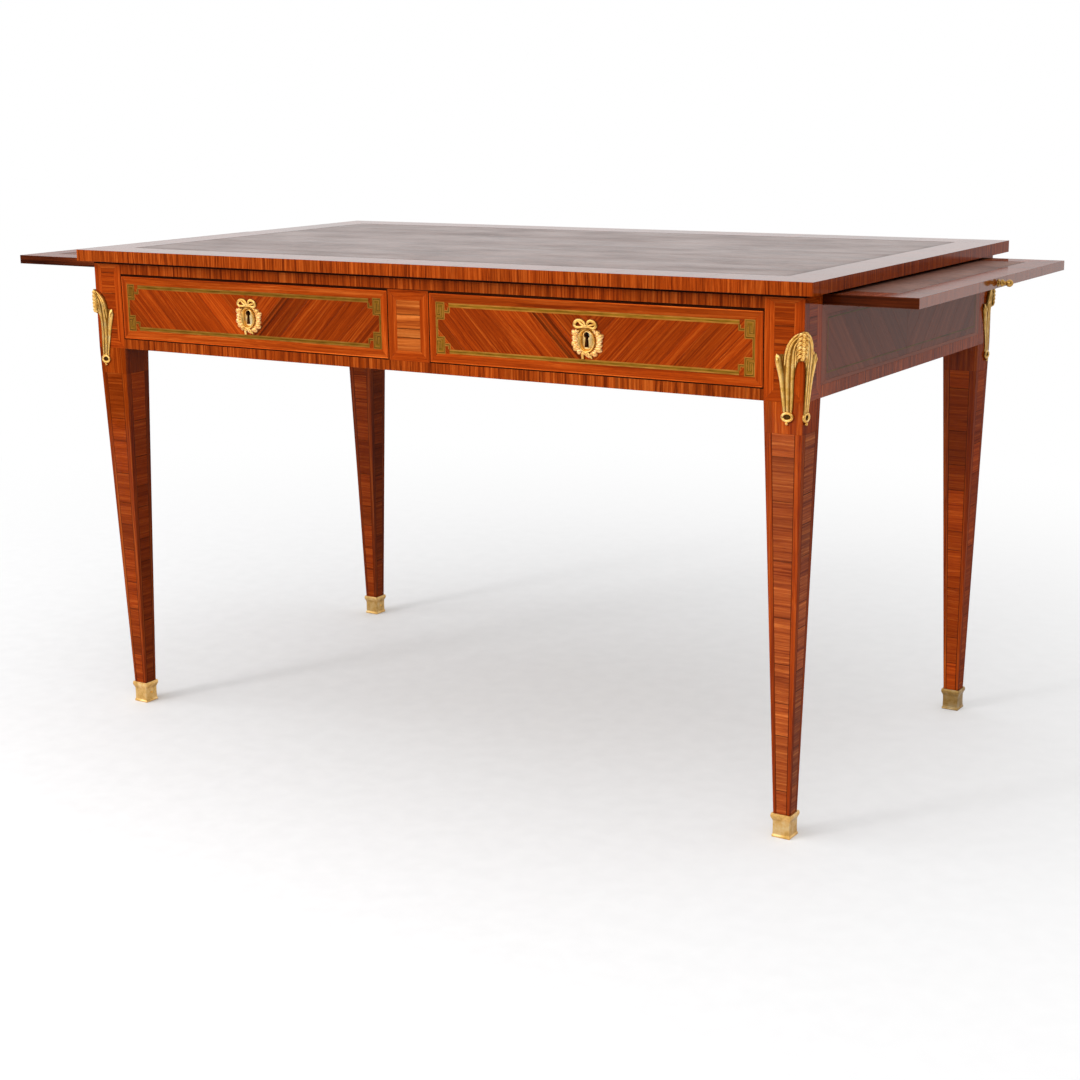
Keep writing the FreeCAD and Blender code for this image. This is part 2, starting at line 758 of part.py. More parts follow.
def lock_screws(side, fit=0.0):
    screws = []
    mid_x = side * drawer_mid_x
    for way in (-1, 1):
        for level in (front_top - lock_height + screw_margin, front_top - screw_margin):
            x = mid_x + way * (lock_plate_width / 2 - screw_edge)
            head = rod((x, rail_back_y, level), (0, -screw_head_height - fit, 0), screw_head_radius + fit)
            shank = rod((x, rail_back_y, level), (0, -screw_length - fit, 0), screw_radius + fit)
            screws.append(joined([head, shank]))
    return screws


# Writing slides
def slide_end(name):
    """X of a slide's outer end, flush with the side of the table when it is pushed in."""
    return sides[name] * (body_half_x + slide_drawn[name])


def slide_board(name):
    side, end_x = sides[name], slide_end(name)
    board = block((end_x, end_x - side * slide_length), (-slide_half_y, slide_half_y),
                  (slide_bottom, slide_top))
    shank_hole = rod((end_x, 0, (slide_bottom + slide_top) / 2), (-side * knob_shank_length, 0, 0),
                     knob_shank_radius + pin_fit)
    return without(board, [slide_leather(name, leather_gap), shank_hole])


def slide_leather(name, grow=0.0):
    side = sides[name]
    near_x = slide_end(name) - side * (slide_leather_border - grow)
    far_x = slide_end(name) - side * (slide_leather_border + slide_leather_length + grow)
    half_y = slide_half_y - slide_leather_border + grow
    return block((near_x, far_x), (-half_y, half_y), (slide_top - leather_thickness, slide_top))


def slide_stop(name):
    """A batten under a slide that meets the side apron when the slide is fully drawn."""
    side = sides[name]
    outer_x = apron_inner_x - slide_stop_clearance - slide_travel + slide_drawn[name]
    return block((side * outer_x, side * (outer_x - slide_stop_length)),
                 (-slide_stop_width / 2, slide_stop_width / 2),
                 (slide_bottom - slide_stop_height, slide_bottom))


def slide_knob(name):
    """A turned knob, drawn along X as radius against distance from the slide's end."""
    ball_in = math.sqrt(knob_ball_radius ** 2 - knob_neck_radius ** 2)
    tip_radius = (knob_length - knob_ball_place - knob_ball_radius) + knob_neck_radius / 2
    profile = [(-knob_shank_length, 0), (-knob_shank_length, knob_shank_radius), (0, knob_shank_radius),
               (0, knob_rose_radius), (knob_rose_thickness, knob_rose_radius),
               (2 * knob_rose_thickness, knob_neck_radius),
               (knob_collar_place - knob_rose_thickness, knob_neck_radius),
               (knob_collar_place - knob_rose_thickness / 2, knob_collar_radius),
               (knob_collar_place, knob_neck_radius), (knob_ball_place - ball_in, knob_neck_radius)]
    points = [Vector(along, radius, 0) for along, radius in profile]
    pole = Vector(knob_ball_place + knob_ball_radius, 0, 0)
    crest = Vector(knob_ball_place, knob_ball_radius, 0)
    edges = [Part.LineSegment(a, b).toShape() for a, b in zip(points, points[1:])]
    edges.append(Part.Arc(points[-1], crest, pole).toShape())
    edges.append(Part.LineSegment(pole, points[0]).toShape())
    turned = Part.Face(Part.Wire(edges)).revolve(Vector(0, 0, 0), Vector(1, 0, 0), 360)
    tip = Part.makeSphere(tip_radius, Vector(knob_length - tip_radius, 0, 0))
    knob = Part.makeSolid(turned.Shells[0]).fuse(tip).removeSplitter()
    if sides[name] < 0:
        knob.rotate(Vector(0, 0, 0), Vector(0, 0, 1), 180)
    knob.translate(Vector(slide_end(name), 0, (slide_bottom + slide_top) / 2))
    return knob


def carcass_nodes():
    nodes = {"top_panel": top_panel(), "top_leather": top_leather(), "upper_front_rail": upper_front_rail(),
             "lower_front_rail": lower_front_rail(), "centre_stile": centre_stile(),
             "back_apron": back_apron(), "centre_guide": centre_guide(),
             "drawer_stops": Part.makeCompound(drawer_stops()),
             "tenon_pegs": Part.makeCompound(tenon_pegs()),
             "top_dowels": Part.makeCompound(top_dowels()),
             "mount_pins": Part.makeCompound(mount_pins())}
    for name, xs in runner_spans().items():
        nodes[f"drawer_runner_{name}"] = drawer_runner(xs)
    for name, side in sides.items():
        nodes[f"side_apron_{name}"] = side_apron(side)
        nodes[f"drawer_guide_{name}"] = side_guide(side)
    for end_name, end in ends.items():
        nodes[f"slide_guide_{end_name}"] = slide_guide(end)
        for name, side in sides.items():
            nodes[f"leg_{end_name}_{name}"] = leg(side, end)
            nodes[f"sabot_{end_name}_{name}"] = sabot(side, end)
            nodes[f"corner_mount_{end_name}_{name}"] = corner_mount(side, end)
    return nodes


def drawer_nodes(name):
    side = sides[name]
    return {f"drawer_{name}_front": drawer_front(side),
            f"drawer_{name}_side_outer": drawer_side(side, "outer"),
            f"drawer_{name}_side_inner": drawer_side(side, "inner"),
            f"drawer_{name}_back": drawer_back(side),
            f"drawer_{name}_bottom": drawer_bottom(side),
            f"drawer_{name}_stringing": stringing(side),
            f"escutcheon_{name}": escutcheon(side),
            f"lock_case_{name}": lock_case(side),
            f"lock_bolt_{name}": lock_bolt(side),
            f"lock_screws_{name}": Part.makeCompound(lock_screws(side))}


def slide_nodes(name):
    return {f"slide_{name}_board": slide_board(name), f"slide_{name}_leather": slide_leather(name),
            f"slide_{name}_knob": slide_knob(name), f"slide_{name}_stop": slide_stop(name)}


def main():
    os.makedirs("parts", exist_ok=True)
    nodes = carcass_nodes()
    for name in sides:
        nodes.update(drawer_nodes(name))
        nodes.update(slide_nodes(name))
    for name, shape in nodes.items():
        shape.exportStep(f"parts/{name}.step")
    print(len(nodes), "nodes,", sum(len(shape.Solids) for shape in nodes.values()), "solids")


main()
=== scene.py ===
import math
import random
from fnmatch import fnmatch

import bmesh
import bpy
from mathutils import Matrix, Vector, noise


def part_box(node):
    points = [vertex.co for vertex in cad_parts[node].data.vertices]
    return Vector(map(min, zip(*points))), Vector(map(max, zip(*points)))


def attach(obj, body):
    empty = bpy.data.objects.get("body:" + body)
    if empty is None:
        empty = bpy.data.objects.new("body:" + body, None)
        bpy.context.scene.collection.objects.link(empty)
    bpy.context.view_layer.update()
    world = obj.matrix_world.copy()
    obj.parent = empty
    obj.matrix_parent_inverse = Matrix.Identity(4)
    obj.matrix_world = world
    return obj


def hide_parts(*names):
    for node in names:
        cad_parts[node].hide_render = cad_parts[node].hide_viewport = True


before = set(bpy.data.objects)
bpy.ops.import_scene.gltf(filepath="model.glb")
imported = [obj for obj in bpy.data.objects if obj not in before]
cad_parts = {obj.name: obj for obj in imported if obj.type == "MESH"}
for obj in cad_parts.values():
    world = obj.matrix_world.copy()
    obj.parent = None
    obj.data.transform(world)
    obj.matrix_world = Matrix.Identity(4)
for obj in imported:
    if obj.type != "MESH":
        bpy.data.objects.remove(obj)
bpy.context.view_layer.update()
chance = random.Random(11)
mm = 0.001
sides = {"left": -1, "right": 1}
ends = {"front": -1, "back": 1}

# Veneer leaves, laid a hair proud of the wood under them
veneer_rise = 0.15 * mm
veneer_sink = 0.4 * mm
joint_gap = 0.06 * mm
leaf_bevel = 0.12 * mm
least_edge = 0.3 * mm
seam_level = 0.38
seam_spread = 0.2
warmth_spread = 0.05
grain_room = 9.0
sharp_turn = math.radians(38)

# Planes of the table, read from the frame
top_low, top_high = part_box("top_panel")
leg_low, leg_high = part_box("leg_front_right")
front_low, front_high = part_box("drawer_right_front")
rail_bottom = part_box("upper_front_rail")[0].z
apron_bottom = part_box("lower_front_rail")[0].z
stile_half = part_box("centre_stile")[1].x
shoe_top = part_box("sabot_front_right")[1].z
front_y = front_low.y
front_bottom = front_low.z - (rail_bottom - front_high.z)
body_x = leg_high.x
leg_inner_x = leg_low.x
leg_inner_y = -leg_high.y
top_under = top_low.z


class Face:
    """A work plane on the table: a runs along it, b up it and d out of it."""

    def __init__(self, origin, along, up, out=None):
        self.origin = Vector(origin)
        self.along = Vector(along).normalized()
        self.up = Vector(up).normalized()
        self.out = Vector(out).normalized() if out else self.along.cross(self.up)

    def at(self, a, b, d=0.0):
        return self.origin + self.along * a + self.up * b + self.out * d


def upright(origin, out):
    """A standing face through a point, looking out along a level direction."""
    above = Vector((0, 0, 1))
    return Face(origin, above.cross(Vector(out)), above)


class Shells:
    """Closed shells that together make one piece, each point with its tint and place in the grain."""

    def __init__(self):
        self.points = []
        self.faces = []
        self.grain = []
        self.tint = []
        self.looks = []

    def loft(self, rings, tints, grain=None, look=0, closed=False):
        """A closed shell through rings of as many points each, capped or joined end to end."""
        first, size, count = len(self.points), len(rings[0]), len(rings)
        self.points += [point for ring in rings for point in ring]
        self.tint += tints
        self.grain += grain or [(0.0, 0.0)] * (size * count)
        faces = [] if closed else [list(range(size)), [size * (count - 1) + i for i in range(size)]]
        for r in range(count if closed else count - 1):
            here, ahead = r * size, (r + 1) % count * size
            for i in range(size):
                j = (i + 1) % size
                faces.append([here + i, here + j, ahead + j, ahead + i])
        self.faces += [[first + i for i in corners] for corners in faces]
        self.looks += [look] * len(faces)


def linked(name, data):
    """A new object in the scene."""
    made = bpy.data.objects.new(name, data)
    bpy.context.scene.collection.objects.link(made)
    return made


def piece(name, shells, slot, replaces=(), body="carcass", looks=None):
    """Makes the shells one object that rides on a body, with its slot's looks if no others are given."""
    mesh = bpy.data.meshes.new(name)
    mesh.from_pydata(shells.points, [], shells.faces)
    mesh.polygons.foreach_set("material_index", shells.looks)
    mesh.polygons.foreach_set("use_smooth", [True] * len(shells.faces))
    layer = mesh.uv_layers.new(name="grain")
    corners = [loop.vertex_index for loop in mesh.loops]
    layer.data.foreach_set("uv", [x for i in corners for x in shells.grain[i]])
    tint = mesh.color_attributes.new("tint", "FLOAT_COLOR", "POINT")
    tint.data.foreach_set("color", [x for colour in shells.tint for x in (*colour, 1.0)])
    shape = bmesh.new()
    shape.from_mesh(mesh)
    bmesh.ops.recalc_face_normals(shape, faces=shape.faces)
    shape.to_mesh(mesh)
    shape.free()
    mesh.set_sharp_from_angle(angle=sharp_turn)
    for look in looks or slot_looks[slot]:
        mesh.materials.append(look)
    made = linked(name, mesh)
    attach(made, body)
    if replaces:
        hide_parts(*replaces)


# Flat outlines
def rect(left, bottom, right, top):
    return [(left, bottom), (right, bottom), (right, top), (left, top)]


def inset(box, by):
    """Left, bottom, right and top of a rectangle, each moved in."""
    left, bottom, right, top = box
    return (left + by, bottom + by, right - by, top - by)


def heading(degrees):
    return Vector((math.cos(math.radians(degrees)), math.sin(math.radians(degrees))))


def round_steps(count):
    """Even angles once round."""
    return [math.tau * k / count for k in range(count)]


def inward(*steps):
    """For each step along an outline, the direction to its left."""
    return [Vector((-step.y, step.x)).normalized() for step in steps]


def corner_normals(outline, closed=True):
    """At each corner, the direction that moves both of its edges inwards by one."""
    result, last = [], len(outline) - 1
    for i, here in enumerate(outline):
        before = here - outline[i - 1]
        after = outline[(i + 1) % len(outline)] - here
        if not closed and i == 0:
            before = after
        if not closed and i == last:
            after = before
        n1, n2 = inward(before, after)
        result.append((n1 + n2) / (1 + n1.dot(n2)))
    return result


def moved_in(outline, steps):
    """A convex outline with each edge moved inwards by a step of its own."""
    result = []
    for i, here in enumerate(outline):
        n1, n2 = inward(here - outline[i - 1], outline[(i + 1) % len(outline)] - here)
        turn, s1, s2 = n1.dot(n2), steps[i - 1], steps[i]
        if turn > 0.9999:
            result.append(here + n1 * s1)
        else:
            result.append(here + (n1 * (s1 - s2 * turn) + n2 * (s2 - s1 * turn)) / (1 - turn * turn))
    return result


def clip(outline, direction, low, high):
    """The part of a convex outline between two lines that are square to a direction."""
    for sign, limit in ((1, high), (-1, -low)):
        kept = []
        for i, here in enumerate(outline):
            ahead = outline[(i + 1) % len(outline)]
            over, next_over = (sign * p.dot(direction) - limit for p in (here, ahead))
            if over <= 0:
                kept.append(here)
            if over * next_over < 0:
                kept.append(here + (ahead - here) * (over / (over - next_over)))
        outline = kept
    return [p for i, p in enumerate(outline) if (p - outline[i - 1]).length > least_edge]


def on_lines(p, q, hole):
    """Whether an edge lies on one of the four lines of a rectangle."""
    left, bottom, right, top = hole
    close = 0.01 * mm
    across = any(abs(p.x - x) < close and abs(q.x - x) < close for x in (left, right))
    return across or any(abs(p.y - y) < close and abs(q.y - y) < close for y in (bottom, top))


def around(outline, hole):
    """The parts of a convex outline that leave a rectangle open."""
    left, bottom, right, top = hole
    level, rise, far = Vector((1, 0)), Vector((0, 1)), 9.0
    middle = clip(outline, level, left, right)
    if len(clip(middle, rise, bottom, top)) < 3:
        return [outline]
    parts = [clip(outline, level, -far, left), clip(outline, level, right, far),
             clip(middle, rise, -far, bottom), clip(middle, rise, top, far)]
    return [part for part in parts if len(part) > 2]


# Veneer
def tone(level=1.0, spread=0.1):
    """A tint of uneven strength and warmth."""
    strength = level * chance.uniform(1 - spread, 1 + spread)
    warmth = chance.uniform(-warmth_spread, warmth_spread)
    return (strength * (1 + warmth), strength, strength * (1 - warmth))


def anywhere():
    """A place of its own in the grain."""
    return Vector((chance.uniform(0, grain_room), chance.uniform(0, grain_room)))


def leaf(shells, face, outline, grain, look, tint, top=veneer_rise, under=veneer_sink, start=None, hole=None):
    """One leaf of veneer: a thin closed plate with eased edges, its grain turned by an angle."""
    edges = zip(outline, outline[1:] + outline[:1])
    flush = [bool(hole) and on_lines(p, q, hole) for p, q in edges]
    lower = moved_in(outline, [0.0 if held else joint_gap for held in flush])
    upper = moved_in(outline, [0.0 if held else joint_gap + leaf_bevel for held in flush])
    levels = [(lower, -under), (lower, top - leaf_bevel), (upper, top)]
    rings = [[face.at(p.x, p.y, d) for p in ring] for ring, d in levels]
    along = heading(grain)
    across = Vector((-along.y, along.x))
    start = start or anywhere()
    coords = [(p.dot(along) + start.x, p.dot(across) + start.y) for ring, d in levels for p in ring]
    shells.loft(rings, [tint] * len(coords), coords, look)


def streaked(low, high, streaks):
    """A band in parts, cut where streaks begin and end, and each part's level."""
    cuts = {min(max(edge, low), high) for near, far, level in streaks for edge in (near, far)}
    cuts = sorted(cuts | {low, high})
    for near_cut, far_cut in zip(cuts, cuts[1:]):
        middle = (near_cut + far_cut) / 2
        yield near_cut, far_cut, math.prod(level for near, far, level in streaks if near < middle < far)


def laid(shells, face, outline, grain, look, run=0.0, pitch=None, level=1.0, spread=0.08, hole=None,
         seam=0.0, streaks=(), **how):
    """Veneer over a convex outline: one leaf, or uneven leaves along run, with seams or streaks if asked."""
    outline = [Vector(p) for p in outline]
    direction = heading(run)
    reach = [p.dot(direction) for p in outline]
    cuts = [min(reach)]
    while pitch and cuts[-1] + pitch[1] < max(reach):
        cuts.append(cuts[-1] + chance.uniform(*pitch))
    spans = zip(cuts, cuts[1:] + [max(reach) + seam])
    bands = [(low, high - seam, tone(level, spread)) for low, high in spans]
    if seam:
        bands += [(high - seam, high, tone(seam_level * level, seam_spread)) for high in cuts[1:]]
    for low, high, tint in bands:
        start = anywhere()
        for near, far, dark in streaked(low, high, streaks):
            part = clip(outline, direction, near, far)
            for bit in (around(part, hole) if hole else [part]):
                if len(bit) > 2:
                    shaded = [dark * value for value in tint]
                    leaf(shells, face, bit, grain, look, shaded, start=start, hole=hole, **how)


def framed(shells, face, outer, inner, look, cross=False, pitch=None, **how):
    """A mitred border between two rectangles, with the grain along it or, crossbanded, across it."""
    (l0, b0, r0, t0), (l1, b1, r1, t1) = outer, inner
    level_runs = [[(l0, b0), (r0, b0), (r1, b1), (l1, b1)], [(r0, t0), (l0, t0), (l1, t1), (r1, t1)]]
    upright_runs = [[(r0, b0), (r0, t0), (r1, t1), (r1, b1)], [(l0, t0), (l0, b0), (l1, b1), (l1, t1)]]
    for runs, angle in ((level_runs, 0), (upright_runs, 90)):
        for outline in runs:
            laid(shells, face, outline, angle + 90 * cross, look, angle, pitch, **how)


def inlay(shells, face, path, width, look, top, closed=False, level=1.0):
    """A let-in line of even width along a path, mitred at its corners."""
    path = [Vector(p) for p in path]
    count = len(path)
    mitres = corner_normals(path, closed)
    for i in range(count if closed else count - 1):
        j = (i + 1) % count
        near, far = mitres[i] * width / 2, mitres[j] * width / 2
        outline = [path[i] - near, path[j] - far, path[j] + far, path[i] + near]
        step = path[j] - path[i]
        angle = math.degrees(math.atan2(step.y, step.x))
        leaf(shells, face, outline, angle, look, tone(level, string_spread), top=top)


# Rounded forms
# Painted shade: how dark gilt relief is tinted in its hollows
hollow_shade_level = 0.52
least_half = 0.08 * mm


def smooth(values, count):
    """Even steps along a soft curve through the given numbers or points."""
    last = len(values) - 1
    result = []
    for k in range(count):
        i = min(int(last * k / (count - 1)), last - 1)
        t = last * k / (count - 1) - i
        a, b, c, d = (values[max(0, min(last, i + j))] for j in (-1, 0, 1, 2))
        curve = (c - a) * t + (a * 2 - b * 5 + c * 4 - d) * t ** 2 + (b * 3 - a - c * 3 + d) * t ** 3
        result.append(b + curve * 0.5)
    return result


def shade(share):
    """Tint of gilding with painted shade: dark in the hollows, full on the crests."""
    level = hollow_shade_level + (1 - hollow_shade_level) * max(0.0, min(1.0, share))
    return (level, level * (0.9 + 0.1 * level), level * (0.78 + 0.22 * level))


def reed(shells, face, path, widths, heights, count=22, arch=8, sink=0.6 * mm, ridge=0.0, tint=None):
    """A domed strip along a path of a, b and d, closed at both ends."""
    spine = smooth([Vector(p) for p in path], count)
    widths, heights = smooth(widths, count), smooth(heights, count)
    rings, tints = [], []
    for i, here in enumerate(spine):
        step = spine[min(i + 1, count - 1)] - spine[max(i - 1, 0)]
        across = Vector((-step.y, step.x)).normalized()
        half = max(widths[i] / 2, least_half)
        tall = max(heights[i], least_half)
        ring = []
        # Painted shade and light: each point's tint is darker low on the strip and full on its crest
        for k in range(arch + 1):
            turn = math.pi * k / arch
            off = -math.cos(turn) * half
            crest = 1.0 - abs(off) / half
            lift = tall * ((1 - ridge) * math.sin(turn) + ridge * crest)
            ring.append(face.at(here.x + across.x * off, here.y + across.y * off, here.z + lift))
            tints.append(tint or shade(math.sin(turn)))
        for off in (half, -half):
            ring.append(face.at(here.x + across.x * off, here.y + across.y * off, here.z - sink))
            tints.append(tint or shade(0.0))
        rings.append(ring)
    shells.loft(rings, tints)


def strip(shells, face, rows, **how):
    """A reed through rows of a, b, d, width and height in millimetres."""
    widths, heights = ([row[k] * mm for row in rows] for k in (3, 4))
    reed(shells, face, [Vector(row[:3]) * mm for row in rows], widths, heights, **how)


def turned(shells, face, centre, profile, count=28, tint=None):
    """A shape turned about an axis that stands out of the face, from radius and height pairs."""
    heights = [height for radius, height in profile]
    low, span = min(heights), max(heights) - min(heights)
    rings, tints = [], []
    for radius, height in profile:
        rings.append([face.at(centre[0] + radius * math.cos(t), centre[1] + radius * math.sin(t), height)
                      for t in round_steps(count)])
        # Painted shade and light: darker low on the shape, full at its highest
        tints += [tint or shade(0.4 + 0.6 * (height - low) / span)] * count
    shells.loft(rings, tints)


def ball(shells, face, centre, radius, height, count=16):
    """A small round bead, its middle at a height over the face."""
    steps = [math.pi * k / 10 for k in range(11)]
    profile = [(radius * math.sin(t) + 0.02 * mm, height - radius * math.cos(t)) for t in steps]
    turned(shells, face, centre, profile, count)


def hoop(shells, face, centre, radii, tube, height, count=28, section=10):
    """An oval ring that lies flat on a face."""
    rings, tints = [], []
    for turn in round_steps(count):
        ring = []
        for roll in round_steps(section):
            wide, tall = (radius + tube * math.cos(roll) for radius in radii)
            ring.append(face.at(centre[0] + wide * math.cos(turn), centre[1] + tall * math.sin(turn),
                                height + tube * math.sin(roll)))
            # Painted shade and light: the tube is darker underneath and full on top
            tints.append(shade(0.6 + 0.6 * math.sin(roll)))
        rings.append(ring)
    shells.loft(rings, tints, closed=True)


def board(shells, low, high, look, ease=0.3 * mm):
    """A plain board with eased edges."""
    rings = []
    for level, by in ((low.z, ease), (low.z + ease, 0), (high.z - ease, 0), (high.z, ease)):
        corners = rect(*inset((low.x, low.y, high.x, high.y), by))
        rings.append([Vector((x, y, level)) for x, y in corners])
    shells.loft(rings, [(1, 1, 1)] * 16, look=look)


# Materials
class Look:
    """The nodes of a material or world that is being put together."""

    def __init__(self, owner):
        self.owner = owner
        owner.use_nodes = True
        self.tree = owner.node_tree

    def feed(self, socket, value):
        if isinstance(value, bpy.types.NodeSocket):
            self.tree.links.new(value, socket)
        else:
            socket.default_value = value

    def node(self, kind, inputs, **settings):
        made = self.tree.nodes.new("ShaderNode" + kind)
        for key, value in settings.items():
            setattr(made, key, value)
        for key, value in inputs.items():
            self.feed(made.inputs[key], value)
        return made

    def place(self, kind="Object"):
        return self.node("TexCoord", {}).outputs[kind]

    def grain(self):
        return self.node("UVMap", {}, uv_map="grain").outputs[0]

    def maths(self, operation, a, b):
        return self.node("Math", {0: a, 1: b}, operation=operation).outputs[0]

    def noise(self, vector, scale, detail=2.0, rough=0.5):
        spot = self.node("VectorMath", {0: vector, 1: scale}, operation="MULTIPLY").outputs[0]
        inputs = {"Vector": spot, "Scale": 1.0, "Detail": detail, "Roughness": rough}
        return self.node("TexNoise", inputs).outputs[0]

    def stretch(self, value, low, high, to_low=0.0, to_high=1.0, **settings):
        inputs = {0: value, 1: low, 2: high, 3: to_low, 4: to_high}
        return self.node("MapRange", inputs, **settings).outputs[0]

    def ramp(self, value, stops, bright=1.0):
        made = self.node("ValToRGB", {0: value})
        points = made.color_ramp.elements
        while len(points) < len(stops):
            points.new(0.5)
        for point, (spot, colour) in zip(points, stops):
            point.position = spot
            point.color = (*(bright * part for part in colour), 1.0)
        return made.outputs[0]

    def mix(self, share, a, b, blend="MIX"):
        made = self.node("Mix", {0: share, 6: a, 7: b}, data_type="RGBA", blend_type=blend)
        return made.outputs[2]

    def tinted(self, colour):
        tint = self.node("Attribute", {}, attribute_name="tint").outputs[0]
        return self.mix(1.0, colour, tint, "MULTIPLY")

    def bump(self, height, strength, distance):
        made = self.node("Bump", {"Height": height, "Strength": strength, "Distance": distance})
        self.finish(normal=made.outputs[0])

    def finish(self, **values):
        shader = self.tree.nodes["Principled BSDF"]
        for key, value in values.items():
            self.feed(shader.inputs[key.replace("_", " ").title().replace("Ior", "IOR")], value)
        return self.owner


def new_look(name):
    return Look(bpy.data.materials.new(name))


along_turn = {"x": (0, 0, 0), "y": (0, 0, -math.pi / 2), "z": (0, math.pi / 2, 0)}
figure_scales = ((2.0, 85.0, 2.0), (5.0, 310.0, 2.0), (18.0, 1300.0, 1.0))
polish_rough = 0.10


def wood(name, tones, veins, gloss, shares=(0.5, 0.32, 0.18), pace=1.0, reach=0.11, along=None):
    """Polished straight-grained wood: tinted and along the leaf's grain, or plain and along an axis."""
    dark, mid, light = tones
    look = new_look(name)
    if along:
        place = look.node("Mapping", {"Vector": look.place(), "Rotation": along_turn[along]}).outputs[0]
    else:
        place = look.grain()
    wander = look.noise(place, (3.5, 11.0, 11.0))
    drift = look.maths("MULTIPLY", look.maths("SUBTRACT", wander, 0.5), 0.014)
    offset = look.node("CombineXYZ", {"Y": drift, "Z": drift}).outputs[0]
    bent = look.node("VectorMath", {0: place, 1: offset}, operation="ADD").outputs[0]
    wide, narrow, fine = (look.noise(bent, (length, pace * across, pace * across), detail=detail)
                          for length, across, detail in figure_scales)
    parts = [look.maths("MULTIPLY", part, share) for part, share in zip((wide, narrow, fine), shares)]
    sum_of = look.maths("ADD", look.maths("ADD", parts[0], parts[1]), parts[2])
    between = [0.35 * d + 0.65 * m for d, m in zip(dark, mid)]
    stops = [(0.5 - reach, dark), (0.5 - 0.35 * reach, between),
             (0.5 + 0.2 * reach, mid), (0.5 + reach, light)]
    colour = look.ramp(sum_of, stops)
    shadow = look.stretch(look.noise(bent, (2.6, 30.0, 30.0)), 0.50, 0.74, 0.0, 0.4)
    colour = look.mix(shadow, colour, (*[0.55 * m for m in mid], 1.0))
    vein = look.stretch(look.noise(bent, (1.1, 150.0, 150.0), detail=1.0), 0.60, 0.70, 0.0, veins)
    colour = look.mix(vein, colour, (*dark, 1.0))
    pores = look.stretch(look.noise(bent, (70.0, 2400.0, 2400.0), detail=0.0), 0.60, 0.74, 0.0, 0.35)
    colour = look.mix(pores, colour, (*[0.4 * d for d in dark], 1.0))
    if not along:
        colour = look.tinted(colour)
    rough = look.stretch(narrow, 0.3, 0.7, 0.40, 0.30)
    look.bump(look.maths("SUBTRACT", fine, pores), 0.12, 0.05 * mm)
    return look.finish(base_color=colour, roughness=rough, specular_ior_level=0.0, coat_weight=gloss,
                       coat_roughness=polish_rough)


leather_tones = (0.3, (0.098, 0.042, 0.029)), (0.5, (0.14, 0.062, 0.042)), (0.7, (0.188, 0.088, 0.061))
leather_streak = (0.045, 0.02, 0.016, 1.0)
leather_dirt = (0.05, 0.022, 0.016, 1.0)


def leather_look(name, coat=(0.20, 0.46), bright=1.0, specular=0.25):
    """Old brown leather: fine pebbled grain, cloudy colour, rubbed streaks and worn spots."""
    look = new_look(name)
    place = look.place()
    clouds = look.noise(place, (7.0, 11.0, 9.0), detail=5.0, rough=0.6)
    rubbed_and_highlit = look.noise(place, (4.0, 60.0, 40.0), detail=3.0, rough=0.6)
    colour = look.ramp(clouds, leather_tones, bright)
    streak = look.stretch(rubbed_and_highlit, 0.56, 0.72, 0.0, 0.5)
    colour = look.mix(streak, colour, leather_streak)
    worn = look.noise(place, (70.0, 95.0, 80.0), detail=7.0, rough=0.72)
    pale = [1.9 * bright * part for part in leather_tones[1][1]]
    colour = look.mix(look.stretch(worn, 0.5, 0.72, 0.0, 0.5), colour, (*pale, 1.0))
    colour = look.mix(look.stretch(worn, 0.47, 0.3, 0.0, 0.55), colour, leather_dirt)
    cells = look.node("TexVoronoi", {"Vector": place, "Scale": 900.0}).outputs["Distance"]
    creases = look.noise(place, (160.0, 160.0, 160.0), detail=4.0)
    height = look.maths("ADD", cells, look.maths("MULTIPLY", creases, 1.5))
    look.bump(height, 0.35, 0.15 * mm)
    rough = look.stretch(look.maths("ADD", clouds, streak), 0.3, 1.1, 0.46, 0.34)
    smear = look.noise(place, (1.6, 26.0, 20.0), detail=3.0, rough=0.6)
    polish = look.stretch(look.maths("ADD", smear, clouds), 0.75, 1.2, *coat)
    return look.finish(base_color=look.tinted(colour), roughness=rough, specular_ior_level=specular,
                       coat_weight=polish, coat_roughness=0.2)


gilt_tones = (0.3, (0.68, 0.35, 0.06)), (0.5, (0.94, 0.54, 0.14)), (0.7, (1.0, 0.69, 0.26))
steel_tones = (0.35, (0.10, 0.085, 0.07)), (0.55, (0.26, 0.25, 0.24)), (0.7, (0.36, 0.35, 0.34))


def gilt_look(name, tinted=True, bright=1.0):
    """Fire-gilt bronze: warm gold, satin with burnished and worn spots."""
    look = new_look(name)
    place = look.place()
    wear = look.noise(place, (90.0, 90.0, 90.0), detail=4.0, rough=0.65)
    colour = look.ramp(wear, gilt_tones, bright)
    grains = look.noise(place, (1500.0, 1500.0, 1500.0))
    look.bump(look.maths("ADD", grains, wear), 0.18, 0.08 * mm)
    rough = look.stretch(wear, 0.3, 0.7, 0.46, 0.28)
    return look.finish(base_color=look.tinted(colour) if tinted else colour, roughness=rough, metallic=1.0)


def steel_look(name):
    """Filed lock steel, greyed with age."""
    look = new_look(name)
    place = look.place()
    filed = look.noise(place, (900.0, 900.0, 40.0))
    stain = look.noise(place, (60.0, 60.0, 60.0), detail=4.0, rough=0.7)
    colour = look.ramp(stain, steel_tones)
    look.bump(filed, 0.2, 0.05 * mm)
    rough = look.stretch(filed, 0.3, 0.7, 0.32, 0.5)
    return look.finish(base_color=colour, roughness=rough, metallic=1.0)


